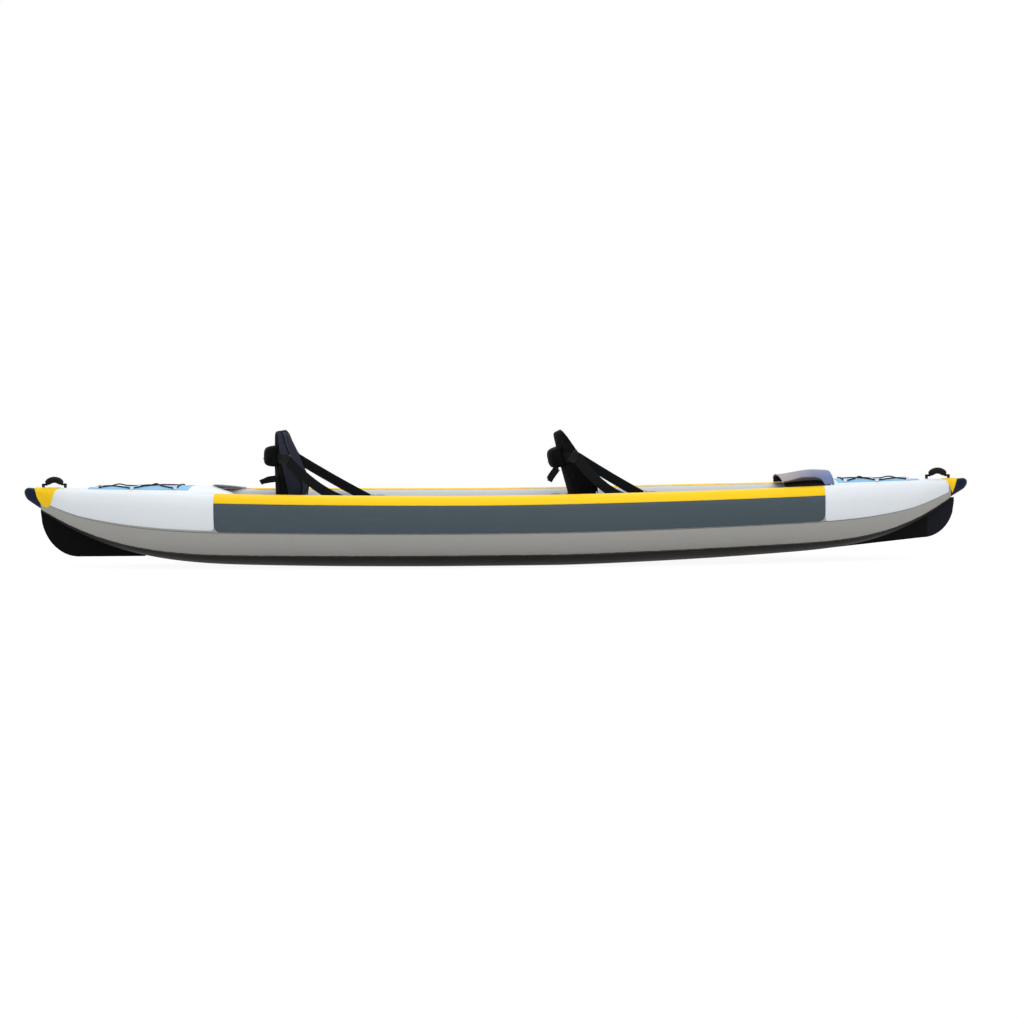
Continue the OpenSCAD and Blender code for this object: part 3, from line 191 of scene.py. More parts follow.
class Graph:
    """The node tree of a material or a world."""

    def __init__(self, owner: Union[bpy.types.Material, bpy.types.World]) -> None:
        """Empties the owner's tree."""
        owner.use_nodes = True
        self.tree = owner.node_tree
        self.tree.nodes.clear()
        self.places: Optional[bpy.types.Node] = None

    def node(self, kind: str, settings: Optional[dict] = None, inputs: Optional[dict] = None,
             output: Union[int, str] = 0) -> Field:
        """Adds a node.

        Args:
            kind: The node's type.
            settings: Its own properties, or a ramp's stops, set before the sockets.
            inputs: Values or links of its sockets, by name or number.
            output: Which output to return.

        Returns:
            That output.
        """
        made = self.tree.nodes.new(kind)
        for key, value in (settings or {}).items():
            if key == "stops":
                self.fill_ramp(made.color_ramp, value)
            else:
                setattr(made, key, value)
        for key, value in (inputs or {}).items():
            self.feed(made.inputs[key], value)
        return Field(self, made.outputs[output] if made.outputs else None)

    @staticmethod
    def fill_ramp(ramp: bpy.types.ColorRamp, stops: Sequence[tuple]) -> None:
        """Sets a ramp's stops, each a place and a colour."""
        while len(ramp.elements) < len(stops):
            ramp.elements.new(1.0)
        for element, (place, colour) in zip(ramp.elements, stops):
            element.position = place
            element.color = colour

    def feed(self, socket: bpy.types.NodeSocket, value: Value) -> None:
        """Links a field to a socket, or sets a plain value on it."""
        if isinstance(value, Field):
            self.tree.links.new(value.socket, socket)
        else:
            socket.default_value = value

    def coordinate(self, name: str) -> Field:
        """One of the Texture Coordinate outputs."""
        if self.places is None:
            self.places = self.tree.nodes.new("ShaderNodeTexCoord")
        return Field(self, self.places.outputs[name])

    def split(self, vector: Field) -> tuple[Field, Field, Field]:
        """The three numbers of a vector."""
        made = self.tree.nodes.new("ShaderNodeSeparateXYZ")
        self.feed(made.inputs[0], vector)
        return tuple(Field(self, s) for s in made.outputs)

    def noise(self, vector: Field, scale: float, detail: float = 2.0) -> Field:
        """Noise from 0 to 1, with a mean of a half."""
        return self.node("ShaderNodeTexNoise", {}, {"Vector": vector, "Scale": scale, "Detail": detail})

    def stretched(self, vector: Field, scale: Sequence[float]) -> Field:
        """A vector scaled along each axis."""
        return self.node("ShaderNodeMapping", {}, {"Vector": vector, "Scale": scale})

    def tinted(self, colour: Value, tone: Field) -> Field:
        """A colour made lighter or darker."""
        vector = colour if isinstance(colour, Field) else colour[:3]
        return self.node("ShaderNodeVectorMath", {"operation": "SCALE"}, {0: vector, "Scale": tone})

    def blend(self, share: Value, a: Value, b: Value) -> Field:
        """A colour between two others."""
        return self.node("ShaderNodeMix", {"data_type": "RGBA"}, {0: share, 6: a, 7: b}, 2)

    def bump(self, height: Field, distance: float, strength: float,
             under: Optional[Field] = None) -> Field:
        """A normal from a height between about 0 and 1, in metres of distance."""
        inputs = {"Height": height, "Distance": distance, "Strength": strength}
        if under:
            inputs["Normal"] = under
        return self.node("ShaderNodeBump", {}, inputs)

    def surface(self, **inputs: Value) -> None:
        """Ends the tree with a Principled shader; the names use underscores for spaces."""
        named = {key.replace("_", " "): value for key, value in inputs.items()}
        shader = self.node("ShaderNodeBsdfPrincipled", {}, named)
        self.node("ShaderNodeOutputMaterial", {}, {"Surface": shader})


MADE: dict[str, bpy.types.Material] = {}


@dataclass(frozen=True)
class Finish:
    """A finish: the record's slot it belongs to, its colour and its gloss."""

    name: str
    slot: str
    colour: Colour
    rough: float = 0.5
    gloss: float = 0.2
    along: tuple[tuple[float, Colour], ...] = ()

    def base(self, g: Graph) -> Value:
        """The plain colour, or colours that change along the hull, each given with its station."""
        if not self.along:
            return self.colour
        first, last = self.along[0][0], self.along[-1][0]
        share = (g.split(g.coordinate("Object"))[0] - first) / (last - first)
        stops = [((place - first) / (last - first), colour) for place, colour in self.along]
        return g.node("ShaderNodeValToRGB", {"stops": stops}, {0: share})

    def material(self) -> bpy.types.Material:
        """The finish's material, made once."""
        if self.name not in MADE:
            MADE[self.name] = bpy.data.materials.new(self.name)
            self.paint(Graph(MADE[self.name]))
        return MADE[self.name]

    def paint(self, g: Graph) -> None:
        """Draws the finish into a graph."""
        raise NotImplementedError


@dataclass(frozen=True)
class CoatedCloth(Finish):
    """Coated woven cloth: fine threads, a coarser dotted weave, soft cloudiness and scuffs.

    The pattern follows the piece's UV map, which is in metres.
    """

    thread: float = 0.0014
    dots: float = 0.0085
    contrast: float = 0.08
    mottle: float = 0.05
    wrinkle: float = 0.0006
    relief: float = 0.00012
    scuff: float = 0.12

    def paint(self, g: Graph) -> None:
        """Weave = sin(u) sin(v) at two scales; the tone is 1 plus clouds, scuffs and the weave, whose part is
        painted shade of its relief.
        """
        place = g.coordinate("Object")
        u, v, _ = g.split(g.coordinate("UV"))
        fine, dot = ((u * (TURN / size)).sine() * (v * (TURN / size)).sine()
                     for size in (self.thread, self.dots))
        cloud = g.noise(place, 2.6, 3.0)
        grain = g.noise(place, 160.0, 2.0)
        rubbed = g.noise(g.stretched(place, (1.2, 9.0, 9.0)), 5.0, 5.0).step(0.6, 0.74)
        # The weave terms make raised cells lighter and dents darker: painted shade of the relief. The clouds
        # and grain vary at random.
        tone = 1 + (cloud - 0.5) * (2 * self.mottle) + dot * self.contrast + fine * (0.5 * self.contrast)
        tone = tone + (grain - 0.5) * (1.2 * self.mottle)
        worn = g.blend(rubbed * self.scuff, self.base(g), (0.6, 0.6, 0.6, 1))
        fold = g.noise(g.stretched(place, (1.0, 3.0, 3.0)), 9.0, 2.0)
        normal = g.bump(fold, self.wrinkle * 4, 0.6)
        normal = g.bump(fine * 0.4 + dot * 0.6, self.relief, 0.7, normal)
        rough = self.rough + (cloud - 0.5) * 0.16 + rubbed * 0.1
        g.surface(Base_Color=g.tinted(worn, tone), Roughness=rough, Normal=normal,
                  Specular_IOR_Level=self.gloss)


@dataclass(frozen=True)
class Moulded(Finish):
    """Moulded rubber or plastic: a fine stipple, faint cloudiness and paler rubbed spots."""

    stipple: float = 900.0
    relief: float = 0.00018
    chalk: float = 0.06

    def paint(self, g: Graph) -> None:
        """Tone = 1 plus clouds; rubbed spots go towards grey; stipple is noise."""
        place = g.coordinate("Object")
        cloud = g.noise(place, 7.0, 4.0)
        spot = g.noise(place, 60.0, 4.0).step(0.58, 0.76)
        stipple = g.noise(place, self.stipple, 1.0)
        worn = g.blend(spot * self.chalk, self.base(g), (0.35, 0.35, 0.36, 1))
        g.surface(Base_Color=g.tinted(worn, 0.86 + cloud * 0.28), Roughness=self.rough + (cloud - 0.5) * 0.2,
                  Normal=g.bump(stipple, self.relief, 0.8), Specular_IOR_Level=self.gloss)


@dataclass(frozen=True)
class Webbing(Finish):
    """Woven webbing: ribs along its length, a herringbone across them and lighter edges.

    The UV map holds the distance across the band and along it, in metres.
    """

    rib: float = 0.0026
    pick: float = 0.0034
    half: float = 0.019

    def paint(self, g: Graph) -> None:
        """Height = |sin(across)| plus a wave along the band that turns at each rib."""
        u, v, _ = g.split(g.coordinate("UV"))
        rib = (u * (math.pi / self.rib)).sine().size()
        pick = ((v + (u * (math.pi / self.rib)).sine() * self.rib) * (TURN / self.pick)).sine()
        edge = (u.size() / self.half).step(0.78, 1.0)
        cloud = g.noise(g.coordinate("Object"), 24.0, 3.0)
        height = rib * 0.6 + pick * 0.2 + 0.2
        # The colour is darker between the ribs and lighter on their crowns, painted shade of the relief, and
        # lighter towards both edges.
        tone = 0.72 + rib * 0.3 + pick * 0.08 + (cloud - 0.5) * 0.3 + edge * 0.25
        g.surface(Base_Color=g.tinted(self.colour, tone), Roughness=self.rough + (cloud - 0.5) * 0.15,
                  Normal=g.bump(height, 0.0005, 0.8), Specular_IOR_Level=self.gloss)


@dataclass(frozen=True)
class Braid(Finish):
    """Braided cord sheath. The UV map holds turns round the cord and metres along it."""

    pitch: float = 0.009
    strands: int = 4

    def paint(self, g: Graph) -> None:
        """Height = the greater of two sets of spiral strands, one turning each way."""
        u, v, _ = g.split(g.coordinate("UV"))
        left = ((u * self.strands + v / self.pitch) * TURN).sine()
        right = ((u * self.strands - v / self.pitch) * TURN).sine()
        height = left.math("MAXIMUM", right) * 0.5 + 0.5
        cloud = g.noise(g.coordinate("Object"), 45.0, 2.0)
        # The colour is darker between the strands and lighter on their crowns: painted shade of the braid's
        # relief.
        g.surface(Base_Color=g.tinted(self.colour, 0.55 + height * 0.6 + (cloud - 0.5) * 0.3),
                  Roughness=self.rough + (cloud - 0.5) * 0.15, Normal=g.bump(height, 0.0006, 0.9),
                  Specular_IOR_Level=self.gloss)


@dataclass(frozen=True)
class SeatCloth(Finish):
    """Padded seat cloth: a plain weave in all three directions, slack wrinkles, lint and sheen."""

    thread: float = 0.0022
    crease: float = 0.003

    def paint(self, g: Graph) -> None:
        """Weave = sum of sines along X, Y and Z; creases are long noise; lint is sparse noise."""
        place = g.coordinate("Object")
        x, y, z = g.split(place)
        k = TURN / self.thread
        weave = ((x + z) * k).sine() * (y * k).sine() + ((x - z) * k).sine() * 0.5
        crease = g.noise(g.stretched(place, (14.0, 9.0, 22.0)), 1.0, 3.0)
        cloud = g.noise(place, 11.0, 3.0)
        lint = g.noise(place, 420.0, 1.0).step(0.66, 0.8)
        # The weave term lightens the weave's crowns and darkens its hollows: painted shade. The clouds and
        # lint are the cloth's own.
        tone = 0.85 + weave * 0.1 + (cloud - 0.5) * 0.5 + lint * 0.5
        normal = g.bump(crease, self.crease * 3, 0.7)
        normal = g.bump(weave * 0.3 + 0.5, 0.0003, 0.7, normal)
        g.surface(Base_Color=g.tinted(self.colour, tone), Roughness=self.rough + (cloud - 0.5) * 0.2,
                  Normal=normal, Specular_IOR_Level=self.gloss)


@dataclass(frozen=True)
class Metal(Finish):
    """Cast or drawn metal with fine scratches and dull spots."""

    def paint(self, g: Graph) -> None:
        """Roughness = scratches from stretched noise plus dull spots."""
        place = g.coordinate("Object")
        scratch = g.noise(g.stretched(place, (90.0, 900.0, 900.0)), 1.0, 3.0)
        dull = g.noise(place, 130.0, 3.0)
        g.surface(Base_Color=g.tinted(self.colour, 0.82 + dull * 0.3), Metallic=1.0,
                  Roughness=self.rough + (scratch - 0.5) * 0.25 + (dull - 0.5) * 0.3,
                  Normal=g.bump(scratch, 0.00006, 0.5))


@dataclass(frozen=True)
class FoamMat(Finish):
    """A foam mat with pressed diagonal grooves. The UV map is in metres."""

    groove: float = 0.021

    def paint(self, g: Graph) -> None:
        """Groove = how near the sum or difference of u and v is to a line of the pattern."""
        place = g.coordinate("Object")
        u, v, _ = g.split(g.coordinate("UV"))
        one = ((u + v) * (math.pi / self.groove)).sine().size()
        two = ((u - v) * (math.pi / self.groove)).sine().size()
        ridge = one.math("MINIMUM", two).step(0.0, 0.3)
        cell = g.noise(place, 700.0, 1.0)
        cloud = g.noise(place, 5.0, 4.0)
        # The grooves are darker than the faces between them: painted shade in the grooves.
        tone = 0.74 + ridge * 0.22 + (cloud - 0.5) * 0.14 + (cell - 0.5) * 0.12
        normal = g.bump(ridge, 0.0016, 0.9)
        g.surface(Base_Color=g.tinted(self.colour, tone), Roughness=self.rough + (cell - 0.5) * 0.1,
                  Normal=g.bump(cell, 0.0002, 0.5, normal))


class Dress:
    """The kayak's finishes."""

    BOTTOM = CoatedCloth("bottom_cloth", "bottom_black", srgb(38, 35, 33), 0.6, 0.1, dots=0.016,
                         contrast=0.05, scuff=0.05)
    SIDE = CoatedCloth("side_cloth", "side_grey", srgb(170, 169, 165), 0.6, dots=0.0125, contrast=0.24,
                       mottle=0.03, scuff=0.05)
    INNER = CoatedCloth("inner_cloth", "floor_grey", srgb(208, 210, 214), 0.5, dots=0.012, contrast=0.03,
                        scuff=0.06)
    FLOOR = CoatedCloth("floor_cloth", "floor_grey", srgb(196, 198, 202), 0.55, contrast=0.05)
    MAT = FoamMat("mat_foam", "mat_grey", srgb(150, 158, 166), 0.8)
    RUB = CoatedCloth("rub_panel_cloth", "panel_charcoal", srgb(72, 85, 92), 0.5, contrast=0.05, dots=0.006,
                      mottle=0.04, scuff=0.02)
    TRIM = CoatedCloth("trim_cloth", "trim_yellow", srgb(253, 208, 30), 0.45, 0.1, contrast=0.03, mottle=0.03,
                       scuff=0.02)
    WHITE = CoatedCloth("white_cloth", "deck_white", srgb(232, 238, 243), 0.45, contrast=0.02, mottle=0.02,
                        scuff=0.02)
    BLUE = CoatedCloth("blue_cloth", "deck_blue", srgb(118, 184, 226), 0.45, contrast=0.03, mottle=0.04,
                       scuff=0.04)
    # The guard's colour runs from brownish grey aft to blue forward along the station: a painted reflection.
    GUARD = CoatedCloth("guard_cloth", "guard_grey", srgb(122, 122, 138), 0.42, 0.15, contrast=0.03,
                        mottle=0.04, scuff=0.03,
                        along=((1.30, srgb(158, 146, 140)), (1.40, srgb(124, 124, 136)),
                               (1.47, srgb(106, 114, 140)), (1.545, srgb(102, 120, 165))))
    # Black cloth under the splash guard, seen through its cut-outs: painted shade inside the hood.
    LINING = CoatedCloth("lining_cloth", "lining_black", srgb(30, 27, 25), 0.75, 0.08, scuff=0.02)
    # A darker grey strip just under the panels' lower edge: painted shade of the raised edge.
    SEAM = CoatedCloth("seam_tape", "side_grey", srgb(104, 106, 106), 0.6, contrast=0.03, scuff=0.02)
    KEEL_SEAM = CoatedCloth("keel_seam_tape", "bottom_black", srgb(24, 23, 22), 0.6, 0.1, contrast=0.03,
                            scuff=0.02)
    PATCH = CoatedCloth("patch_cloth", "patch_grey", srgb(150, 168, 184), 0.45, contrast=0.05, dots=0.006)
    CAP = Moulded("nose_rubber", "cap_navy", srgb(17, 25, 54), 0.42, 0.12)
    SKEG = Moulded("skeg_rubber", "skeg_black", srgb(12, 12, 14), 0.5, 0.04, chalk=0.01)
    BOW_SKEG = Moulded("bow_skeg_rubber", "skeg_black", srgb(12, 12, 14), 0.5, 0.06, chalk=0.01,
                       along=((1.5, srgb(13, 13, 15)), (2.008, srgb(14, 14, 16)), (2.018, srgb(27, 29, 35)),
                              (2.14, srgb(27, 29, 35))))
    GRIP = Moulded("grip_rubber", "grip_black", srgb(16, 16, 17), 0.6, 0.14)
    PLASTIC = Moulded("fitting_plastic", "valve_black", srgb(26, 27, 30), 0.4, 0.4)
    PLUNGER = Moulded("plunger_plastic", "trim_yellow", srgb(236, 190, 30), 0.4, 0.4)
    BUCKLE = Moulded("buckle_plastic", "buckle_black", srgb(18, 18, 20), 0.4, 0.25, relief=0.0001)
    WEB = Webbing("black_webbing", "webbing_black", srgb(25, 26, 28), 0.7, 0.06)
    LOOP = Webbing("white_webbing", "deck_white", srgb(228, 232, 236), 0.6, half=0.008)
    CORD = Braid("lacing_braid", "cord_black", srgb(26, 28, 36), 0.6, 0.12)
    SEAT = SeatCloth("seat_cloth", "seat_black", srgb(18, 18, 20), 0.8, 0.05)
    SLATE = SeatCloth("slate_cloth", "seat_charcoal", srgb(49, 53, 68), 0.75, 0.08)
    PIPING = SeatCloth("piping_cloth", "seat_black", srgb(13, 13, 15), 0.7, 0.06, thread=0.0016,
                       crease=0.0004)
    STEEL = Metal("ring_steel", "ring_steel", srgb(198, 198, 200), 0.3)
    BRASS = Metal("clip_brass", "clip_brass", srgb(186, 146, 84), 0.36)


class Shape:
    """Collects grids of points into one closed mesh."""

    def __init__(self, name: str) -> None:
        """Starts an empty shape."""
        self.name = name
        self.points: list[Array] = []
        self.corners: list[list[int]] = []
        self.uvs: list[Array] = []
        self.dress: list[int] = []
        self.count = 0

    def grid(self, points: Array, uv: Array, wrap: bool = False, caps: bool = False, ring: bool = False,
             dress: Union[int, Array] = 0) -> "Shape":
        """Adds a grid of points as quads, turned so that a closed grid faces outwards.

        Args:
            points: Rows by columns by 3.
            uv: Rows by columns by 2, one column more if wrap, one row more if ring.
            wrap: Joins the last column to the first.
            caps: Closes the first and last rows to their middles.
            ring: Joins the last row to the first.
            dress: The material's number, or one for each face of the grid.

        Returns:
            The shape.
        """
        m, n = points.shape[:2]
        rows, cols = m - (not ring), n - (not wrap)
        i, j = np.meshgrid(np.arange(rows), np.arange(cols), indexing="ij")
        pick = lambda a, b: (a % m) * n + b % n
        quads = np.stack([pick(i, j), pick(i + 1, j), pick(i + 1, j + 1), pick(i, j + 1)], -1).reshape(-1, 4)
        face_uv = np.stack([uv[:rows, :cols], uv[1:rows + 1, :cols], uv[1:rows + 1, 1:cols + 1],
                            uv[:rows, 1:cols + 1]], 2).reshape(-1, 4, 2)
        flat = points.reshape(-1, 3)
        faces = quads.tolist()
        loops = [face_uv.reshape(-1, 2)]
        marks = np.broadcast_to(dress, (rows, cols)).reshape(-1).tolist()
        if caps:
            flat = np.concatenate([flat, points[[0, -1]].mean(1)])
            k = np.arange(cols)
            for row, middle in ((0, m * n), (m - 1, m * n + 1)):
                a, b = row * n + k, row * n + (k + 1) % n
                fan = np.stack([a, b, np.full_like(a, middle)], -1)
                faces += (fan if row == 0 else fan[:, ::-1]).tolist()
                loops.append(np.repeat(uv[row, :cols], 3, 0))
                marks += [int(np.ravel(dress)[0])] * cols
        self.add(flat, faces, np.concatenate(loops), marks, closed=caps or (wrap and ring))
        return self

    def add(self, points: Array, faces: list[list[int]], uv: Array, marks: list[int], closed: bool) -> None:
        """Adds points and faces, and turns a closed part outwards by its signed volume."""
        if closed:
            fan = np.array([[f[0], f[k], f[k + 1]] for f in faces for k in range(1, len(f) - 1)])
            a, b, c = points[fan[:, 0]], points[fan[:, 1]], points[fan[:, 2]]
            if np.einsum("ij,ij->i", a, np.cross(b, c)).sum() < 0:
                starts = np.cumsum([0] + [len(f) for f in faces])
                uv = np.concatenate([uv[s:e][::-1] for s, e in zip(starts[:-1], starts[1:])])
                faces = [f[::-1] for f in faces]
        self.corners += [[k + self.count for k in f] for f in faces]
        self.points.append(points)
        self.uvs.append(uv)
        self.dress += marks
        self.count += len(points)

    def shell(self, top: Array, low: Array, uv: Array) -> "Shape":
        """Adds a sheet with thickness: two grids joined along all four edges.

        Args:
            top: The outer grid, rows by columns by 3.
            low: The inner grid.
            uv: Rows by columns by 2.

        Returns:
            The shape.
        """
        m, n = top.shape[:2]
        i, j = np.meshgrid(np.arange(m - 1), np.arange(n - 1), indexing="ij")
        at = i * n + j
        quads = np.stack([at, at + n, at + n + 1, at + 1], -1).reshape(-1, 4)
        back = (quads + m * n)[:, ::-1]
        edge = np.concatenate([np.arange(n), np.arange(1, m) * n + n - 1,
                               (m - 1) * n + np.arange(n - 2, -1, -1), np.arange(m - 2, -1, -1) * n])
        a, b = edge[:-1], edge[1:]
        side = np.stack([a, b, b + m * n, a + m * n], -1)
        faces = np.concatenate([quads, back, side])
        flat_uv = np.concatenate([uv.reshape(-1, 2)] * 2)
        self.add(np.concatenate([top.reshape(-1, 3), low.reshape(-1, 3)]), faces.tolist(),
                 flat_uv[faces].reshape(-1, 2), [0] * len(faces), closed=True)
        return self

    def tube(self, path: Array, radius: Number, up: Sequence[float] = (0, 0, 1), sides: int = 12,
             ring: bool = False) -> "Shape":
        """Adds a round cord: a circle carried along a path, its first direction square to up.

        Args:
            path: Points along the cord.
            radius: One radius, or one for each point.
            up: A direction that the path never follows.
            sides: Points round the circle.
            ring: Joins the path's end to its start.

        Returns:
            The shape.
        """
        step = np.roll(path, -1, 0) - np.roll(path, 1, 0) if ring else np.gradient(path, axis=0)
        t = unit(step)
        s = unit(np.cross(np.broadcast_to(np.asarray(up, float), t.shape), t))
        u = np.cross(t, s)
        a = np.linspace(0, TURN, sides, endpoint=False)[None, :, None]
        r = np.broadcast_to(radius, len(path))[:, None, None]
        points = path[:, None] + r * (np.cos(a) * s[:, None] + np.sin(a) * u[:, None])
        run = run_of(path)
        if ring:
            run = np.append(run, run[-1] + np.linalg.norm(path[0] - path[-1]))
        uv = np.stack(np.broadcast_arrays(np.linspace(0, 1, sides + 1)[None], run[:, None]), -1)
        return self.grid(points, uv, wrap=True, caps=not ring, ring=ring)

    def band(self, path: Array, across: Array, width: float, thick: float) -> "Shape":
        """Adds webbing: a flat section with round edges carried along a path.

        Args:
            path: Points along the band's middle.
            across: The direction of its width, one or one for each point.
            width: Its width.
            thick: Its thickness.

        Returns:
            The shape.
        """
        t = unit(np.gradient(path, axis=0))
        w = np.broadcast_to(across, t.shape)
        w = unit(w - t * np.einsum("ij,ij->i", w, t)[:, None])
        o = np.cross(t, w)
        a = np.linspace(0, TURN, 28, endpoint=False)[None, :, None]
        flat = soft(np.cos(a), 0.35) * (width / 2)
        high = soft(np.sin(a), 0.5) * (thick / 2)
        points = path[:, None] + flat * w[:, None] + high * o[:, None]
        uv = np.stack(np.broadcast_arrays(flat[..., 0], run_of(path)[:, None]), -1)
        return self.grid(points, closed(uv), wrap=True, caps=True)

    def build(self, *finishes: Finish, sharp: float = 42.0) -> bpy.types.Object:
        """Makes the object, smooth but for edges sharper than an angle in degrees."""
        mesh = bpy.data.meshes.new(self.name)
        points = np.concatenate(self.points)
        mesh.from_pydata(points.tolist(), [], self.corners)
        mesh.uv_layers.new(name="UVMap").data.foreach_set("uv", np.concatenate(self.uvs).ravel())
        mesh.polygons.foreach_set("material_index", self.dress)
        mesh.polygons.foreach_set("use_smooth", [True] * len(self.corners))
        mesh.set_sharp_from_angle(angle=math.radians(sharp))
        for finish in finishes:
            mesh.materials.append(finish.material())
        mesh.validate()
        piece = bpy.data.objects.new(self.name, mesh)
        bpy.context.scene.collection.objects.link(piece)
        return piece

    def put(self, body: str, finish: Finish, *nodes: str, sharp: float = 42.0) -> None:
        """Builds the piece in one finish and settles it on a body."""
        settle(self.build(finish, sharp=sharp), body, finish, *nodes)


def settle(piece: bpy.types.Object, body: str, finish: Finish, *nodes: str) -> None:
    """Puts a piece on a body and the nodes it stands for, and reports it."""
    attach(piece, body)
    if nodes:
        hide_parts(*nodes)
    log.info("%s on %s, %d faces", piece.name, body, len(piece.data.polygons))


def refinish(finish: Finish, *nodes: str) -> None:
    """Gives CAD nodes that keep their shape a better material."""
    for name in nodes:
        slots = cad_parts[name].data.materials
        if len(slots) == 0:
            slots.append(finish.material())
        for index in range(len(slots)):
            slots[index] = finish.material()
        log.info("%s keeps its solid, in %s", name, finish.name)


class Side(Enum):
    """The two sides of the kayak, as the sign of Y."""

    PORT = 1
    STARBOARD = -1

    @property
    def label(self) -> str:
        """The side's name in lower case."""
        return self.name.lower()

    def turned(self, points: Array) -> Array:
        """Points of the port side, moved to this side."""
        return points * np.array([1, self.value, 1])


@dataclass
class HullLines:
    """The lines of the hull: half breadths, heights and outlines at a station x."""

    body_half: float = 2.120
    nose_len: float = 0.080
    nose_lift: float = 0.008
    nose_slant: float = 0.5
    nose_blunt: float = 0.72
    half_beam: float = 0.450
    half_chine: float = 0.330
    gunwale: float = 0.330
    sheer: float = 0.036
    chine: float = 0.054
    wall: float = 0.130
    foot: float = 0.100
    floor: float = 0.065
    crown: float = 0.034
    gap: float = 0.0003
    least: float = 0.00015
    clearance: float = 0.0018
    mat: float = 0.005
    end_half: float = 0.042
    end_chine: float = 0.016
    fullness: float = 2.7
    chine_fullness: float = 2.2
    rocker_from: float = 0.3
    bow_lift: tuple[float, float, float] = (0.060, 0.170, 1.35)
    stern_lift: tuple[float, float, float] = (0.012, 0.205, 1.1)
    bottom_lift: float = 0.044
    belly: float = 0.3

    def span(self, x: Array) -> Array:
        """How far x is from midships to the end, from 0 to 1."""
        return np.minimum(1, np.abs(x) / self.body_half)

    def breadth(self, x: Array) -> Array:
        """Half breadth: full amidships, falling with a power of the span."""
        return mix(self.end_half, self.half_beam, 1 - self.span(x) ** self.fullness)

    def chine_y(self, x: Array) -> Array:
        """Half breadth at the lower seam."""
        return mix(self.end_chine, self.half_chine, 1 - self.span(x) ** self.chine_fullness)

    def reach(self, x: Array, start: float) -> Array:
        """How far x is from a start to the end, from 0 to 1."""
        return np.clip((np.abs(x) - start) / (self.body_half - start), 0, 1)

    def rise(self, x: Array) -> Array:
        """Lift of the bottom: a gentle rocker, and a steep sweep from the station that a lift ends with."""
        x = np.asarray(x, float)
        base = self.reach(x, self.rocker_from) ** 1.2
        bow, stern = (rocker * base + sweep * self.reach(x, start) ** 3
                      for rocker, sweep, start in (self.bow_lift, self.stern_lift))
        return np.where(x > 0, bow, stern)

    def chine_z(self, x: Array) -> Array:
        """Height of the lower seam."""
        return self.chine + self.rise(x)

    def bottom_z(self, x: Array) -> Array:
        """Height of the flat bottom."""
        return self.rise(x) + self.bottom_lift * self.reach(x, self.rocker_from) ** 3

    def gunwale_z(self, x: Array) -> Array:
        """Height of the gunwale's top."""
        return self.gunwale + self.sheer * self.span(x) ** 1.5

    def tube_r(self, x: Array) -> Array:
        """Radius of the round top."""
        return np.minimum(self.wall, self.breadth(x) - self.least) / 2

    def foot_y(self, x: Array) -> Array:
        """Half breadth inside, at the floor."""
        return np.maximum(self.least, self.chine_y(x) - self.foot)

    def inner_y(self, x: Array) -> Array:
        """Half breadth inside, at the shoulder."""
        return self.breadth(x) - 2 * self.tube_r(x)

    def shoulder_z(self, x: Array) -> Array:
        """Height where the round top starts."""
        return self.gunwale_z(x) - self.tube_r(x)

    def rim(self, x: Array) -> Array:
        """Half breadth at the tube's top, where the deck starts."""
        return self.breadth(x) - self.tube_r(x)

    def crown_h(self, x: Array) -> Array:
        """Rise of the deck in its middle."""
        return self.crown * self.rim(x) / (self.half_beam - self.wall / 2)

    def wall_pt(self, x: Array, v: Array) -> Array:
        """The side chamber's outline: v 0 to 1 a curved outer side, to 3 a round top, to 4 the inner side.

        Args:
            x: Stations.
            v: Places round the outline.

        Returns:
            Points on the port side.
        """
        x, v = np.broadcast_arrays(np.asarray(x, float), np.asarray(v, float))
        cy, cz, b = self.chine_y(x), self.chine_z(x), self.breadth(x)
        gz, r = self.gunwale_z(x), self.tube_r(x)
        sz = gz - r
        t = np.clip(v, 0, 1)
        side_y = cy * (1 - t) ** 2 + b * (1 - (1 - t) ** 2)
        side_z = cz * (1 - t) ** 2 + 2 * mix(cz, gz, self.belly) * t * (1 - t) + sz * t * t
        a = np.pi / 2 * (np.clip(v, 1, 3) - 1)
        q = np.clip(v, 3, 4) - 3
        top_y, in_y = b - r * (1 - np.cos(a)), mix(b - 2 * r, self.foot_y(x), q)
        y = np.where(v <= 1, side_y, np.where(v <= 3, top_y, in_y))
        z = np.where(v <= 1, side_z, np.where(v <= 3, sz + r * np.sin(a), mix(sz, cz, q)))
        return np.stack([x, y, z], -1)

    def deck_pt(self, x: Array, w: Array) -> Array:
        """The deck: across from -1 to 1 of the rim, crowned as 1 - w squared."""
        x, w = np.broadcast_arrays(np.asarray(x, float), np.asarray(w, float))
        return np.stack([x, self.rim(x) * w, self.gunwale_z(x) + self.crown_h(x) * (1 - w * w)], -1)

    def outer_pt(self, x: Array, v: Array) -> Array:
        """The outside of the hull: the side to v 2, then the deck to its middle at 3.

        The nose has a slanted underside and an elliptical tip.
        """
        x, v = np.broadcast_arrays(np.asarray(x, float), np.asarray(v, float))
        p = np.where((v <= 2)[..., None], self.wall_pt(x, np.minimum(v, 2)), self.deck_pt(x, 3 - v))
        share = np.maximum(0, np.abs(x) - self.body_half) / self.nose_len
        slant = 1 - self.nose_slant * share
        past = np.maximum(0, (share - self.nose_blunt) / (1 - self.nose_blunt))
        tip = np.sqrt(np.maximum(0, 1 - past ** 2))
        c = self.gunwale_z(x)
        middle = c - (c - self.chine_z(x)) * slant / 2
        z = middle + (c + (p[..., 2] - c) * slant - middle) * tip
        return np.stack([x, p[..., 1] * slant * tip, z + self.nose_lift * share], -1)

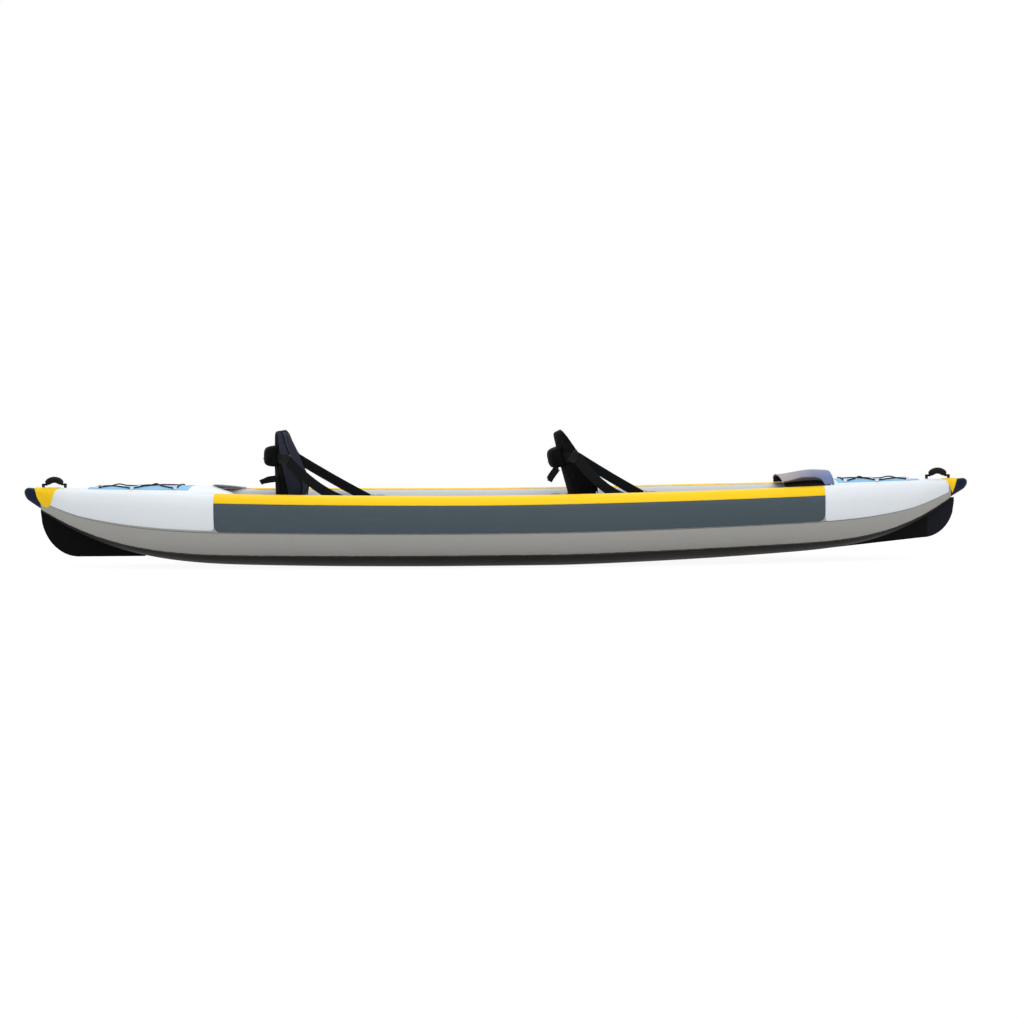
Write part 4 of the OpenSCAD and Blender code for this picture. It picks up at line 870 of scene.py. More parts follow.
    def raised(self, line: Callable[[Array, Array], Array], x: Array, v: Array, h: Number) -> Array:
        """Points a height h off an outline, square to it in its own station.

        Args:
            line: The outline, a function of x and v.
            x: Stations.
            v: Places round the outline.
            h: Height off it.

        Returns:
            The raised points.
        """
        x, v = np.broadcast_arrays(np.asarray(x, float), np.asarray(v, float))
        d = line(x, v + 0.01) - line(x, np.maximum(0, v - 0.01))
        n = unit(np.stack([np.zeros_like(x), d[..., 2], -d[..., 1]], -1))
        return line(x, v) + n * np.asarray(h)[..., None]

    def girth(self, points: Array) -> Array:
        """UV in metres: the station, and the length round the outline from the first column."""
        step = np.linalg.norm(np.diff(points, axis=1), axis=2)
        run = np.concatenate([np.zeros((len(points), 1)), np.cumsum(step, 1)], 1)
        return np.stack([np.broadcast_to(points[..., 0], run.shape), run], -1)

    def inner_edge(self, x: Array, z: Array) -> Array:
        """Half breadth between the side chambers at a height."""
        share = (z - self.chine_z(x)) / (self.shoulder_z(x) - self.chine_z(x))
        return mix(self.foot_y(x), self.inner_y(x), share) - self.clearance

    def mat_top(self, x: Array) -> Array:
        """Height of the floor mat's top."""
        return self.chine_z(x) + self.floor + self.gap + self.mat


LINES = HullLines()


def pucker(x: Array, away: Array, size: float = 0.0011, reach: float = 0.03) -> Array:
    """Small gathers along a seam: three waves along x that fade with the distance from it."""
    wave = np.sin(x * 95 + 1.3) * 0.5 + np.sin(x * 163 + 0.4) * 0.3 + np.sin(x * 41 + 2.1) * 0.4
    return size * np.exp(-(away / reach) ** 2) * wave


@dataclass
class Chambers:
    """The air chambers, the hull's bottom and the floor mat."""

    rows: int = 260
    split_v: float = 2.2
    mat_aft: float = -1.282
    mat_fore: float = 1.421
    mat_margin: float = 0.014

    def build(self) -> None:
        """Builds every chamber."""
        self.bottom()
        for side in Side:
            self.side(side)
        self.floor()
        self.mat()

    def stations(self) -> Array:
        """Stations of the whole hull, closer together towards the ends."""
        last = LINES.body_half
        s = np.sin(np.radians(84) * np.linspace(-1, 1, self.rows)) / np.sin(np.radians(84)) * last
        return np.concatenate([[-last], s[np.abs(s) < last - 0.004], [last]])

    def bottom(self) -> None:
        """The bottom: flat in its middle, with a round bilge up to the lower seam on each side."""
        x = self.stations()[:, None]
        c, z, top = LINES.chine_y(x), LINES.bottom_z(x), LINES.chine_z(x) - LINES.gap
        b = np.maximum(0.005, c * 0.62 * (1 - LINES.span(x) ** 2))
        by, bz = mix(b, c, 0.62), mix(z, top, 0.3)
        t = np.linspace(0, 1, 13)[None]
        curve = lambda p, q, r: p * (1 - t) ** 2 + (4 * q - p - r) * t * (1 - t) + r * t * t
        flat = b * np.linspace(0, 1, 7)[None, :-1]
        y = np.concatenate([flat, curve(b, by, c)], 1)
        h = np.concatenate([np.broadcast_to(z, flat.shape), curve(z, bz, top)], 1)
        half = np.stack([np.broadcast_to(x, y.shape), y, h], -1)
        ring = np.concatenate([half, Side.STARBOARD.turned(half)[:, :0:-1]], 1)
        shape = Shape("hull_skin").grid(ring, LINES.girth(closed(ring)), wrap=True, caps=True)
        shape.put("hull", Dress.BOTTOM, "hull_bottom", sharp=60)

    def side(self, side: Side) -> None:
        """A side chamber: woven grey outside, pale inside, with gathers along its lower seam."""
        x = self.stations()[:, None]
        outer, round_top, inner = np.linspace(0, 1, 22)[:-1], np.linspace(1, 3, 34)[:-1], np.linspace(3, 4, 14)
        v = np.concatenate([outer, round_top, inner])[None]
        gathers = np.where((v > 0) & (v < 2), pucker(x, v * 0.2), 0)
        points = LINES.raised(LINES.wall_pt, x, v, gathers)
        inside = np.append((v[0, 1:] > self.split_v).astype(int), 1)
        dress = np.broadcast_to(inside, (len(x) - 1, len(inside)))
        shape = Shape(f"{side.label}_chamber")
        shape.grid(side.turned(points), LINES.girth(closed(points)), wrap=True, caps=True, dress=dress)
        piece = shape.build(Dress.SIDE, Dress.INNER, sharp=55)
        settle(piece, "hull", Dress.SIDE, f"{side.label}_side_chamber")

    def floor(self) -> None:
        """The floor chamber: a flat slab with round sides, from side chamber to side chamber."""
        x = self.stations()
        x = x[LINES.foot_y(x) > 0.03][:, None]
        a = np.linspace(0, TURN, 72, endpoint=False)[None]
        low, high = LINES.chine_z(x), LINES.chine_z(x) + LINES.floor
        z = mix(low, high, 0.5 + 0.5 * soft(np.sin(a), 0.25))
        y = LINES.inner_edge(x, z) * soft(np.cos(a), 0.12)
        points = np.stack([np.broadcast_to(x, y.shape), y, z], -1)
        shape = Shape("floor_slab").grid(points, LINES.girth(closed(points)), wrap=True, caps=True)
        shape.put("hull", Dress.FLOOR, "floor_chamber")

    def mat(self) -> None:
        """The floor mat: a thin sheet with round edges on the floor chamber."""
        x = dense(self.mat_aft, self.mat_fore, 0.02)[:, None]
        w = dense(-1, 1, 0.04, 0.03)[None]
        half = LINES.inner_edge(x, LINES.chine_z(x) + LINES.floor) - self.mat_margin
        end = np.minimum(x - self.mat_aft, self.mat_fore - x)
        lift = LINES.mat * round_edge(np.minimum((1 - np.abs(w)) * half, end), 0.006, 0.2)
        base = LINES.chine_z(x) + LINES.floor + LINES.gap
        top, low = (np.stack(np.broadcast_arrays(x, half * w, z), -1) for z in (base + lift, base))
        Shape("floor_foam").shell(top, low, top[..., :2].copy()).put("hull", Dress.MAT, "floor_mat")


@dataclass
class OuterPanels:
    """The welded panels on the outside of the side chambers, and the gunwale strips."""

    fore: float = 1.504
    aft: float = -1.280
    seam_v: float = 4 / 7
    strip_v: float = 1.25
    inner_v: float = 2.24
    horn: float = -1.192
    horn_len: float = 0.05
    top_v: float = 1.992
    end: float = 2.108
    joint: float = 0.0004
    stern_rise: float = 0.03
    corner: float = 0.026
    white_corner: float = 0.014
    low: float = 0.0003
    high: float = 0.0019
    step: float = 0.012
    tape_end: float = 2.085

    def build(self) -> None:
        """Builds the panels of both sides."""
        for side in Side:
            self.rub_panel(side)
            self.strip(side)
        self.white_panels()
        self.seams()

    def patch(self, x0: float, x1: float, v0: Number, v1: Number, aft: float = 0,
              fore: float = 0) -> tuple[Array, Array, Array]:
        """A sheet on the side chamber with round edges, and round lower corners.

        A corner of radius r draws an end in by r - sqrt(r^2 - d^2), where d is the distance past its start.

        Args:
            x0: After end.
            x1: Forward end.
            v0: Lower edge, one value or one at each station.
            v1: Upper edge.
            aft: Radius of the lower corner aft.
            fore: Radius of the lower corner forward.

        Returns:
            The outer grid, the inner grid and the UV.
        """
        x = dense(x0, x1, self.step)[:, None]
        v0, v1 = (np.broadcast_to(np.asarray(v, float).reshape(-1, 1), x.shape) for v in (v0, v1))
        share = np.concatenate([[0, 0.012, 0.035], np.linspace(0.08, 0.92, 22), [0.965, 0.988, 1]])[None]
        v = mix(v0, v1, share)
        middle = LINES.wall_pt(x, mix(v0, v1, 0.5))
        tall = sum(np.linalg.norm(LINES.wall_pt(x, v) - middle, axis=-1) for v in (v0, v1))
        up, down = share * tall, (1 - share) * tall

        def inset(r: float) -> Array:
            """How far a round lower corner draws each row's end in."""
            q = np.clip(1 - up / max(r, 1e-6), 0, 1)
            return r * (1 - np.sqrt(1 - q * q))

        start, stop = x0 + inset(aft), x1 - inset(fore)
        place = np.clip(np.broadcast_to(x, v.shape), start, stop)
        side = np.minimum(up, down)
        edge = np.minimum(side, np.minimum(place - start, stop - place))
        lift = mix(self.low, self.high, round_edge(edge, 0.0022, 0.25))
        top = LINES.raised(LINES.wall_pt, place, v, lift + pucker(place, side, 0.0007, 0.02))
        under = LINES.raised(LINES.wall_pt, place, v, np.full_like(lift, self.low * 0.2))
        return top, under, LINES.girth(top)

    def rub_panel(self, side: Side) -> None:
        """The dark panel along the middle of the side, with round lower corners."""
        top, low, uv = self.patch(self.aft, self.fore, self.seam_v, self.strip_v, self.corner, self.corner)
        shape = Shape(f"{side.label}_rub").shell(side.turned(top), side.turned(low), uv)
        shape.put("hull", Dress.RUB, f"{side.label}_rub_panel")

    def strip(self, side: Side) -> None:
        """The yellow strip over the gunwale; its inner edge starts ahead of the stern deck's horn."""
        x = dense(self.aft, self.fore, self.step)
        inner = mix(2.0, self.inner_v, ease((x - self.horn) / self.horn_len))
        top, low, uv = self.patch(self.aft, self.fore, self.strip_v + 0.002, inner)
        shape = Shape(f"{side.label}_strip").shell(side.turned(top), side.turned(low), uv)
        shape.put("hull", Dress.TRIM, f"{side.label}_gunwale_strip")

    def white_panels(self) -> None:
        """The white panels beside both decks, from the dark panel to the nose."""
        shape = Shape("white_sides")
        bow = self.patch(self.fore + self.joint, self.end, self.seam_v, self.top_v, aft=self.white_corner)
        stern = self.patch(-self.end, self.aft - self.joint, self.seam_v + self.stern_rise, self.top_v,
                           fore=self.white_corner)
        for top, low, uv in (bow, stern):
            for side in Side:
                shape.shell(side.turned(top), side.turned(low), uv)
        shape.put("hull", Dress.WHITE, "deck_side_panels")

    def seams(self) -> None:
        """Thin darker strips just under the panels' lower edge, painted shade of that raised edge, and thin
        tapes along the bottom's seam, a hair off the chambers.
        """
        x = np.linspace(-self.tape_end, self.tape_end, 400)[:, None]
        lift = np.array([0.0001, 0.0006, 0.0007, 0.0006, 0.0001])[None] + 0 * x
        for name, first, last, finish in (
                # This strip is painted shade under the panels' raised lower edge.
                ("panel_seams", self.seam_v - 0.022, self.seam_v - 0.008, Dress.SEAM),
                ("keel_seams", 0.004, 0.024, Dress.KEEL_SEAM)):
            shape = Shape(name)
            v = np.linspace(first, last, 5)[None]
            top = LINES.raised(LINES.wall_pt, x, v, lift)
            low = LINES.raised(LINES.wall_pt, x, v, np.full_like(lift, -0.0002))
            for side in Side:
                shape.shell(side.turned(top), side.turned(low), LINES.girth(top))
            shape.put("hull", finish)


@dataclass
class Decks:
    """The fabric decks, their blue inserts and the splash guard."""

    width: float = 0.985
    end: float = 2.090
    bow_edge: float = 1.541
    stern_edge: float = -1.322
    bay: float = 0.130
    hem: float = 0.0034
    insert_share: float = 0.8
    bow_insert: tuple[float, float] = (1.578, 1.970)
    stern_insert: tuple[float, float] = (-1.895, -1.412)
    guard_len: float = 0.225
    guard_h: float = 0.060
    guard_gap: float = 0.038
    guard_over: float = 0.006
    guard_sag: float = 0.010
    guard_fold: float = 0.9
    guard_lift: float = 0.003

    def build(self) -> None:
        """Builds the decks from bow to stern."""
        self.deck("bow", self.bow_edge, self.end, 0.0)
        self.deck("stern", -self.end, self.stern_edge, self.bay)
        self.inserts()
        self.guard()

    def sheet(self, x0: float, x1: float, half: float, low: float, high: float,
              bay: float = 0.0) -> tuple[Array, Array, Array]:
        """A sheet on the deck, whose forward edge may run on towards its sides.

        Args:
            x0: After edge.
            x1: Forward edge, in its middle.
            half: Its half width, as a share of the rim.
            low: Height of the underside.
            high: Height of the face.
            bay: How far the forward edge runs on, times the square of the place across.

        Returns:
            The outer grid, the inner grid and the UV.
        """
        w = dense(-half, half, 0.045, 0.03)[None]
        s = dense(0, 1, 0.022, 0.02)[:, None]
        last = x1 + bay * w * w
        x = mix(x0, last, s)
        edge = np.minimum(np.minimum(x - x0, last - x), (half - np.abs(w)) * LINES.rim(x))
        lift = mix(low, high, round_edge(edge, 0.003, 0.25))
        base = LINES.deck_pt(x, w)
        top = base + UP * lift[..., None]
        return top, base + UP * (low * 0.3), top[..., :2].copy()

    def deck(self, end: str, x0: float, x1: float, bay: float) -> None:
        """A white deck from tube to tube, with a rolled hem along its cockpit edge."""
        shape = Shape(f"{end}_deck_cloth").shell(*self.sheet(x0, x1, self.width, LINES.gap, 0.0027, bay))
        w = np.linspace(-self.width, self.width, 60)
        edge = x0 if end == "bow" else x1 + bay * w * w
        shape.tube(LINES.deck_pt(edge, w) + UP * (self.hem + 0.0001), self.hem)
        shape.put("hull", Dress.WHITE, f"{end}_deck")

    def inserts(self) -> None:
        """The blue inserts in the middle of both decks."""
        shape = Shape("blue_inserts")
        for x0, x1 in (self.bow_insert, self.stern_insert):
            shape.shell(*self.sheet(x0, x1, self.insert_share * self.width, 0.0030, 0.0046))
        shape.put("hull", Dress.BLUE, "deck_inserts")

    def guard_pt(self, s: Array, w: Array, h: Number, opened: float) -> Array:
        """The splash guard: an arch across, its top up to the fold and its upright front beyond it.

        The arch is 1 - |w|^2.6 across. The sheet's thickness turns from up to forward where the front drops.

        Args:
            s: From 0 at its after edge to 1 at its front foot.
            w: From -1 to 1 across.
            h: Height off its inner face.
            opened: 1 with the cut-outs at its sides, 0 without.

        Returns:
            The points.
        """
        s, w = np.broadcast_arrays(np.asarray(s, float), np.asarray(w, float))
        fore = self.bow_edge + self.guard_over
        a = np.minimum(1, s / self.guard_fold)
        down = np.clip((s - self.guard_fold) / (1 - self.guard_fold), 0, 1)
        turn = np.pi / 2 * ease((s - 0.84) / 0.1)
        x = mix(fore - self.guard_len, fore, a) - self.guard_sag * (1 - w * w) * (1 - a) + 0.003 * down
        y = (LINES.rim(x) - self.guard_over) * w
        bow = np.sqrt(np.clip(1 - np.maximum(0, (a - 0.4) / 0.42) ** 4, 0, 1)) * mix(0.62, 1.0, ease(a / 0.4))
        opening = opened * self.guard_gap * bow * ease(3 * np.abs(w) - 2)
        profile = mix(0.7, 1.0, ease(a / 0.7)) - 0.06 * ease((a - 0.7) / 0.3)
        room = LINES.crown_h(x) * (1 - (y / LINES.rim(x)) ** 2) + 0.0006
        arch = np.maximum(self.guard_h * (1 - np.abs(w) ** 2.6) * profile, room * ease((a - 0.9) / 0.05))
        z = LINES.gunwale_z(x) + self.guard_lift + mix(np.maximum(arch, opening), room, down)
        return np.stack([x + h * np.sin(turn), y, z + h * np.cos(turn)], -1)

    def guard(self) -> None:
        """The splash guard's outer cloth, cut out over a whole dark lining, with bound edges; the lining's
        black, seen through the cut-outs, is painted shade inside the hood.
        """
        s = np.concatenate([dense(0, 0.84, 0.03, 0.02), np.linspace(0.85, 1, 31)])[:, None]
        w = dense(-1, 1, 0.018, 0.02)[None]
        # The lining has no cut-outs, so its black fills them: painted shade under the hood.
        for name, node, low, high, opened, finish in (
                ("guard_cloth", "splash_guard", 0.0023, 0.0053, 1.0, Dress.GUARD),
                ("guard_lining", "splash_guard_lining", 0.0, 0.002, 0.0, Dress.LINING)):
            top, under = (self.guard_pt(s, w, h, opened) for h in (high, low))
            Shape(name).shell(top, under, LINES.girth(top)).put("hull", finish, node, sharp=60)
        edge = self.guard_pt(0.0, np.linspace(-1, 1, 160), 0.0038, 1.0)
        Shape("guard_binding").tube(edge, 0.0028, up=(1, 0, 0)).put("hull", Dress.GUARD)
        front = self.guard_pt(0.955, np.linspace(-0.985, 0.985, 160), 0.0062, 1.0)
        Shape("guard_front_hem").band(front, UP, 0.03, 0.0022).put("hull", Dress.WHITE)


@dataclass
class Ends:
    """The nose caps, the yellow end patches and the skegs."""

    patch_low: float = 0.0033
    patch_thick: float = 0.0016
    patch_slant: float = 0.046
    patch_over: float = 0.028
    patch_v: float = 0.38
    patch_foot: float = 0.5
    skeg_half: float = 0.006
    skeg_end: float = 0.012

    def build(self) -> None:
        """Builds both ends."""
        self.nose_cap("bow", 1)
        self.nose_cap("stern", -1)
        self.end_patch("bow", 1, 2.079)
        self.end_patch("stern", -1, 2.027)
        self.skeg("bow", 1, (1.500, 0.046), (1.992, 0.262), 2.138, 0.097, Dress.BOW_SKEG)
        self.skeg("stern", -1, (1.640, 0.047), (1.950, 0.256), 2.125, 0.048, Dress.SKEG)

    def nose_cap(self, end: str, sign: int) -> None:
        """A moulded cap: the hull's outline drawn in from below to a blunt round tip."""
        a = np.radians(np.linspace(0, 88, 40))[:, None]
        x = sign * (LINES.body_half + LINES.gap + LINES.nose_len * np.sin(a))
        v = np.concatenate([np.linspace(0, 1, 22)[:-1], np.linspace(1, 3, 34)])[None]
        half = LINES.outer_pt(x, v)
        ring = np.concatenate([half, Side.STARBOARD.turned(half)[:, -2:0:-1]], 1)
        shape = Shape(f"{end}_cap").grid(ring, LINES.girth(closed(ring)), wrap=True, caps=True)
        shape.put("hull", Dress.CAP, f"{end}_nose_cap", sharp=60)

    def end_patch(self, end: str, sign: int, start: float) -> None:
        """A yellow patch over the end of the deck and the sides, with slanted edges and a round foot."""
        foot_v = self.patch_v + self.patch_foot * np.linspace(0, 1, 16)[:-1] ** 1.6
        v = np.concatenate([foot_v, np.linspace(self.patch_v + self.patch_foot, 2.99, 52)])[None]
        s = np.concatenate([[0, 0.03, 0.09], np.linspace(0.18, 0.82, 10), [0.91, 0.97, 1]])[:, None]
        inner = start + self.patch_slant * ((3 - v) / (3 - self.patch_v)) ** 1.5
        outer = LINES.body_half + self.patch_over * (1 - ((v - 2) / 1.9) ** 2)
        foot = 1 - np.sqrt(1 - (0.94 * np.clip(1 - (v - self.patch_v) / self.patch_foot, 0, 1)) ** 2)
        middle = (inner + outer) / 2
        inner, outer = mix(inner, middle, foot), mix(outer, middle, foot)
        x = mix(inner, outer, s)
        edge = np.minimum(np.minimum(x - inner, outer - x), (v - self.patch_v) * 0.12)
        lift = self.patch_low + self.patch_thick * round_edge(edge, 0.002, 0.2)
        sheets = [LINES.raised(LINES.outer_pt, sign * x, v, h) for h in (lift, np.full_like(lift, 0.001))]
        whole = [np.concatenate([p, Side.STARBOARD.turned(p)[:, ::-1]], 1) for p in sheets]
        shape = Shape(f"{end}_yellow_patch").shell(*whole, LINES.girth(whole[0]))
        shape.put("hull", Dress.TRIM, f"{end}_end_patch", sharp=60)

    def skeg(self, end: str, sign: int, root: tuple[float, float], corner: tuple[float, float], tip: float,
             foot: float, finish: Finish) -> None:
        """A moulded plate under the end, with round shoulders to both faces.

        The outline runs along the hull and back along a straight foot and an elliptical corner.

        Args:
            end: Bow or stern.
            sign: 1 for the bow, -1 for the stern.
            root: Station and height where the foot leaves the hull.
            corner: Station where the foot ends, and height where the ellipse ends at the tip.
            tip: Station of the outer end.
            foot: Height of the foot's outer end.
            finish: Its finish.
        """
        x = np.linspace(root[0], tip, 90)
        inner = sign * np.minimum(x, LINES.body_half)
        beyond = ease((x - LINES.body_half + self.skeg_end) / 0.014)
        upper = mix(LINES.bottom_z(inner), LINES.chine_z(inner), beyond) - LINES.gap
        a = np.arccos(np.clip((x - corner[0]) / (tip - corner[0]), 0, 1))
        ellipse = mix(corner[1], foot, np.sin(a))
        straight = mix(root[1], foot, (x - root[0]) / (corner[0] - root[0]))
        lower = np.minimum(np.where(x > corner[0], ellipse, straight), upper - 0.0005)
        t = np.concatenate([[0], 0.5 - 0.5 * np.cos(np.linspace(0.25, np.pi, 14))])[None]
        z = mix(lower[:, None], upper[:, None], t)
        near = np.minimum(z - lower[:, None], np.minimum(x - root[0], tip - x)[:, None] + 0.002)
        y = self.skeg_half * round_edge(near, 0.005, 0.25)
        grid = np.stack(np.broadcast_arrays(sign * x[:, None], y, z), -1)
        shape = Shape(f"{end}_fin").shell(grid, Side.STARBOARD.turned(grid), grid[..., ::2].copy())
        shape.put("hull", finish, f"{end}_skeg")


@dataclass
class Lacing:
    """The elastic lacing on both decks and its webbing loops."""

    radius: float = 0.003
    lift: float = 0.0084
    bend: float = 0.011
    hump: float = 0.0068
    across: float = 0.76
    loop_w: float = 0.016
    loop_foot: float = 0.0060
    bow: tuple[float, ...] = (1.610, 1.765, 1.920)
    stern: tuple[float, ...] = (-1.470, -1.680, -1.855)

    def build(self) -> None:
        """Builds the cords and all twelve loops."""
        loops = Shape("lacing_tabs")
        for end, pairs in (("bow", self.bow), ("stern", self.stern)):
            route, middles = self.route(self.corners(pairs))
            cord = Shape(f"{end}_cord").tube(route, self.radius, sides=16, ring=True)
            cord.put("hull", Dress.CORD, f"{end}_lacing")
            for middle, way in middles:
                self.loop(loops, middle, way)
        loops.put("hull", Dress.LOOP, "lacing_loops", sharp=50)

    def corners(self, pairs: Sequence[float]) -> Array:
        """The six turning points, in the order the cord passes them."""
        x = np.array([pairs[0], pairs[1], pairs[2], pairs[2], pairs[1], pairs[0]])
        side = np.array([1, -1, 1, -1, 1, -1])
        return np.stack([x, side * LINES.rim(x) * self.across], -1)

    def on_deck(self, flat: Array, height: Number) -> Array:
        """Flat points set on the deck at a height."""
        x, y = flat[..., 0], flat[..., 1]
        return LINES.deck_pt(x, y / LINES.rim(x)) + UP * (height + 0 * x)[..., None]

    def route(self, c: Array) -> tuple[Array, list[tuple[Array, Array]]]:
        """The cord's closed route: a round bend at each corner and straight strands, two of them raised.

        Args:
            c: The turning points.

        Returns:
            The route's points, and each bend's middle with the direction into the bend.
        """
        parts, middles = [], []
        n = len(c)
        turn = [self.turn(c[i - 1], c[i], c[(i + 1) % n]) for i in range(n)]
        for i in range(n):
            bend, run = turn[i]
            parts.append(self.on_deck(bend[:-1], self.lift))
            a, b = bend[-1], turn[(i + 1) % n][0][0]
            q = np.linspace(0, 1, 60, endpoint=False)[:, None]
            length = np.linalg.norm(b - a)
            near = np.clip(np.abs(q[:, 0] - 0.5) * length / 0.055, 0, 1)
            over = self.hump * np.cos(np.pi / 2 * near) ** 2 if i in (3, 4) else 0.0
            parts.append(self.on_deck(mix(a, b, q), self.lift + over))
            middles.append((self.on_deck(bend[len(bend) // 2], self.lift), run))
        return np.concatenate(parts), middles

    def turn(self, a: Array, c: Array, b: Array) -> tuple[Array, Array]:
        """An arc of the bend's radius that touches both strands at a corner."""
        p, q = unit(a - c), unit(b - c)
        half = math.acos(float(np.clip(p @ q, -1, 1))) / 2
        way = unit(p + q)
        side = np.sign(way[0] * p[1] - way[1] * p[0])
        t = np.linspace(-1, 1, 15)
        angle = math.atan2(-way[1], -way[0]) + side * t * (math.pi / 2 - half)
        centre = c + way * self.bend / math.sin(half)
        return centre + self.bend * np.stack([np.cos(angle), np.sin(angle)], -1), way

    def loop(self, shape: Shape, middle: Array, way: Array) -> None:
        """A webbing loop over the cord with two sewn feet: a half circle between straight ends."""
        r = self.radius + 0.0032
        a = np.linspace(np.pi, 0, 15)
        foot = np.array([-0.021, -0.016, -0.0105, -0.0085])
        along = np.concatenate([foot, r * np.cos(a), -foot[::-1]])
        flank = self.loop_foot - self.lift + np.array([0, 0, 0.0002, 0.0012])
        high = np.concatenate([flank, r * np.sin(a) + 0.0002, flank[::-1]])
        out = np.append(way, 0.0)
        flat = middle + along[:, None] * out
        drop = self.on_deck(flat[:, :2], self.lift)[:, 2] - middle[2]
        shape.band(flat + UP * (high + drop)[:, None], np.cross(UP, out), self.loop_w, 0.0016)


@dataclass
class Handles:
    """The end handles with moulded grips, and the webbing handles on the inner walls."""

    width: float = 0.020
    thick: float = 0.0026
    foot_r: float = 0.005
    end_len: float = 0.076
    end_tall: float = 0.022
    side_len: float = 0.117
    side_tall: float = 0.034
    side_x: float = 0.096
    side_off: float = 0.0143
    hang: float = 82.0
    grip_r: float = 0.0150
    grip_half: float = 56.0
    rib: float = 8.0

    def build(self) -> None:
        """Builds all four handles."""
        self.end_handle("bow", 2.062)
        self.end_handle("stern", -2.060)
        for side in Side:
            self.side_handle(side)
        refinish(Dress.GRIP, "handle_anchors")

    @staticmethod
    def arch(length: float, tall: float, count: int, half: Optional[float] = None) -> Array:
        """A circular arch over a length, or its middle up to half an angle in radians, as along and up."""
        r = ((length / 2) ** 2 + tall * tall) / (2 * tall)
        a = np.linspace(-1, 1, count) * (half or math.asin(length / 2 / r))
        return np.stack([r * np.sin(a), tall - r + r * np.cos(a)], -1)

    def feet(self, shape: Shape, axis: Array, along: Array, reach: float, up: Array,
             side: Side = Side.PORT) -> None:
        """Adds the rolled feet of a webbing arch.

        Args:
            shape: The shape to add them to.
            axis: The middle between the feet, on the port side.
            along: The direction from foot to foot.
            reach: Distance from the middle to each foot.
            up: A direction square to along.
            side: The side that the feet are moved to.
        """
        run = np.linspace(-0.007, 0.007, 12)
        radius = self.foot_r * np.sqrt(np.clip(1 - (np.abs(run) / 0.0078) ** 8, 0.05, 1))
        for end in (-reach, reach):
            shape.tube(side.turned(axis + (run + end)[:, None] * along), radius, up=up, sides=20)

    def end_handle(self, end: str, x: float) -> None:
        """An arch of webbing between two rolled feet, with a ribbed grip round its middle."""
        axis = np.array([x, 0.0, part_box(f"{end}_handle_strap")[0][2] + self.foot_r])
        along, across = np.array([1.0, 0, 0]), np.array([0, 1.0, 0])
        flat = self.arch(self.end_len, self.end_tall, 41)
        strap = Shape(f"{end}_handle_web")
        strap.band(axis + flat[:, :1] * along + flat[:, 1:] * UP, across, self.width, self.thick)
        self.feet(strap, axis, along, self.end_len / 2, UP)
        strap.put(f"{end}_handle", Dress.WEB, f"{end}_handle_strap")
        a = np.linspace(-self.grip_half, self.grip_half, 140)
        flat = self.arch(self.end_len, self.end_tall, len(a), math.radians(self.grip_half))
        rib = 1 - 0.05 * np.abs(np.sin(np.pi * (a + self.grip_half) / self.rib)) ** 6
        radius = self.grip_r * rib * np.sqrt(np.clip(1 - (np.abs(a) / (self.grip_half + 1)) ** 8, 0.1, 1))
        grip = Shape(f"{end}_handle_sleeve")
        grip.tube(axis + flat[:, :1] * along + flat[:, 1:] * UP, radius, up=across, sides=28)
        grip.put(f"{end}_handle", Dress.GRIP, f"{end}_handle_grip", sharp=60)

    def side_handle(self, side: Side) -> None:
        """A webbing arch hanging against the inner wall."""
        v = WallPatches.v
        wall, fore, aft = LINES.wall_pt(self.side_x + np.array([0, 0.01, -0.01]), v)
        d = LINES.wall_pt(self.side_x, v + 0.01) - LINES.wall_pt(self.side_x, v - 0.01)
        n = unit(np.array([0, d[2], -d[1]]))
        along = unit(fore - aft)
        axis = wall + n * self.side_off
        hang = math.radians(self.hang)
        out = n * math.cos(hang) - UP * math.sin(hang)
        down = unit(out - along * (out @ along))
        flat = self.arch(self.side_len, self.side_tall, 51)
        path = axis + flat[:, :1] * along + flat[:, 1:] * down
        shape = Shape(f"{side.label}_carry_web")
        shape.band(side.turned(path), side.turned(np.cross(along, down)), self.width, self.thick)
        self.feet(shape, axis, along, self.side_len / 2, np.cross(n, along), side)
        shape.put(f"{side.label}_handle", Dress.WEB, f"{side.label}_side_handle")


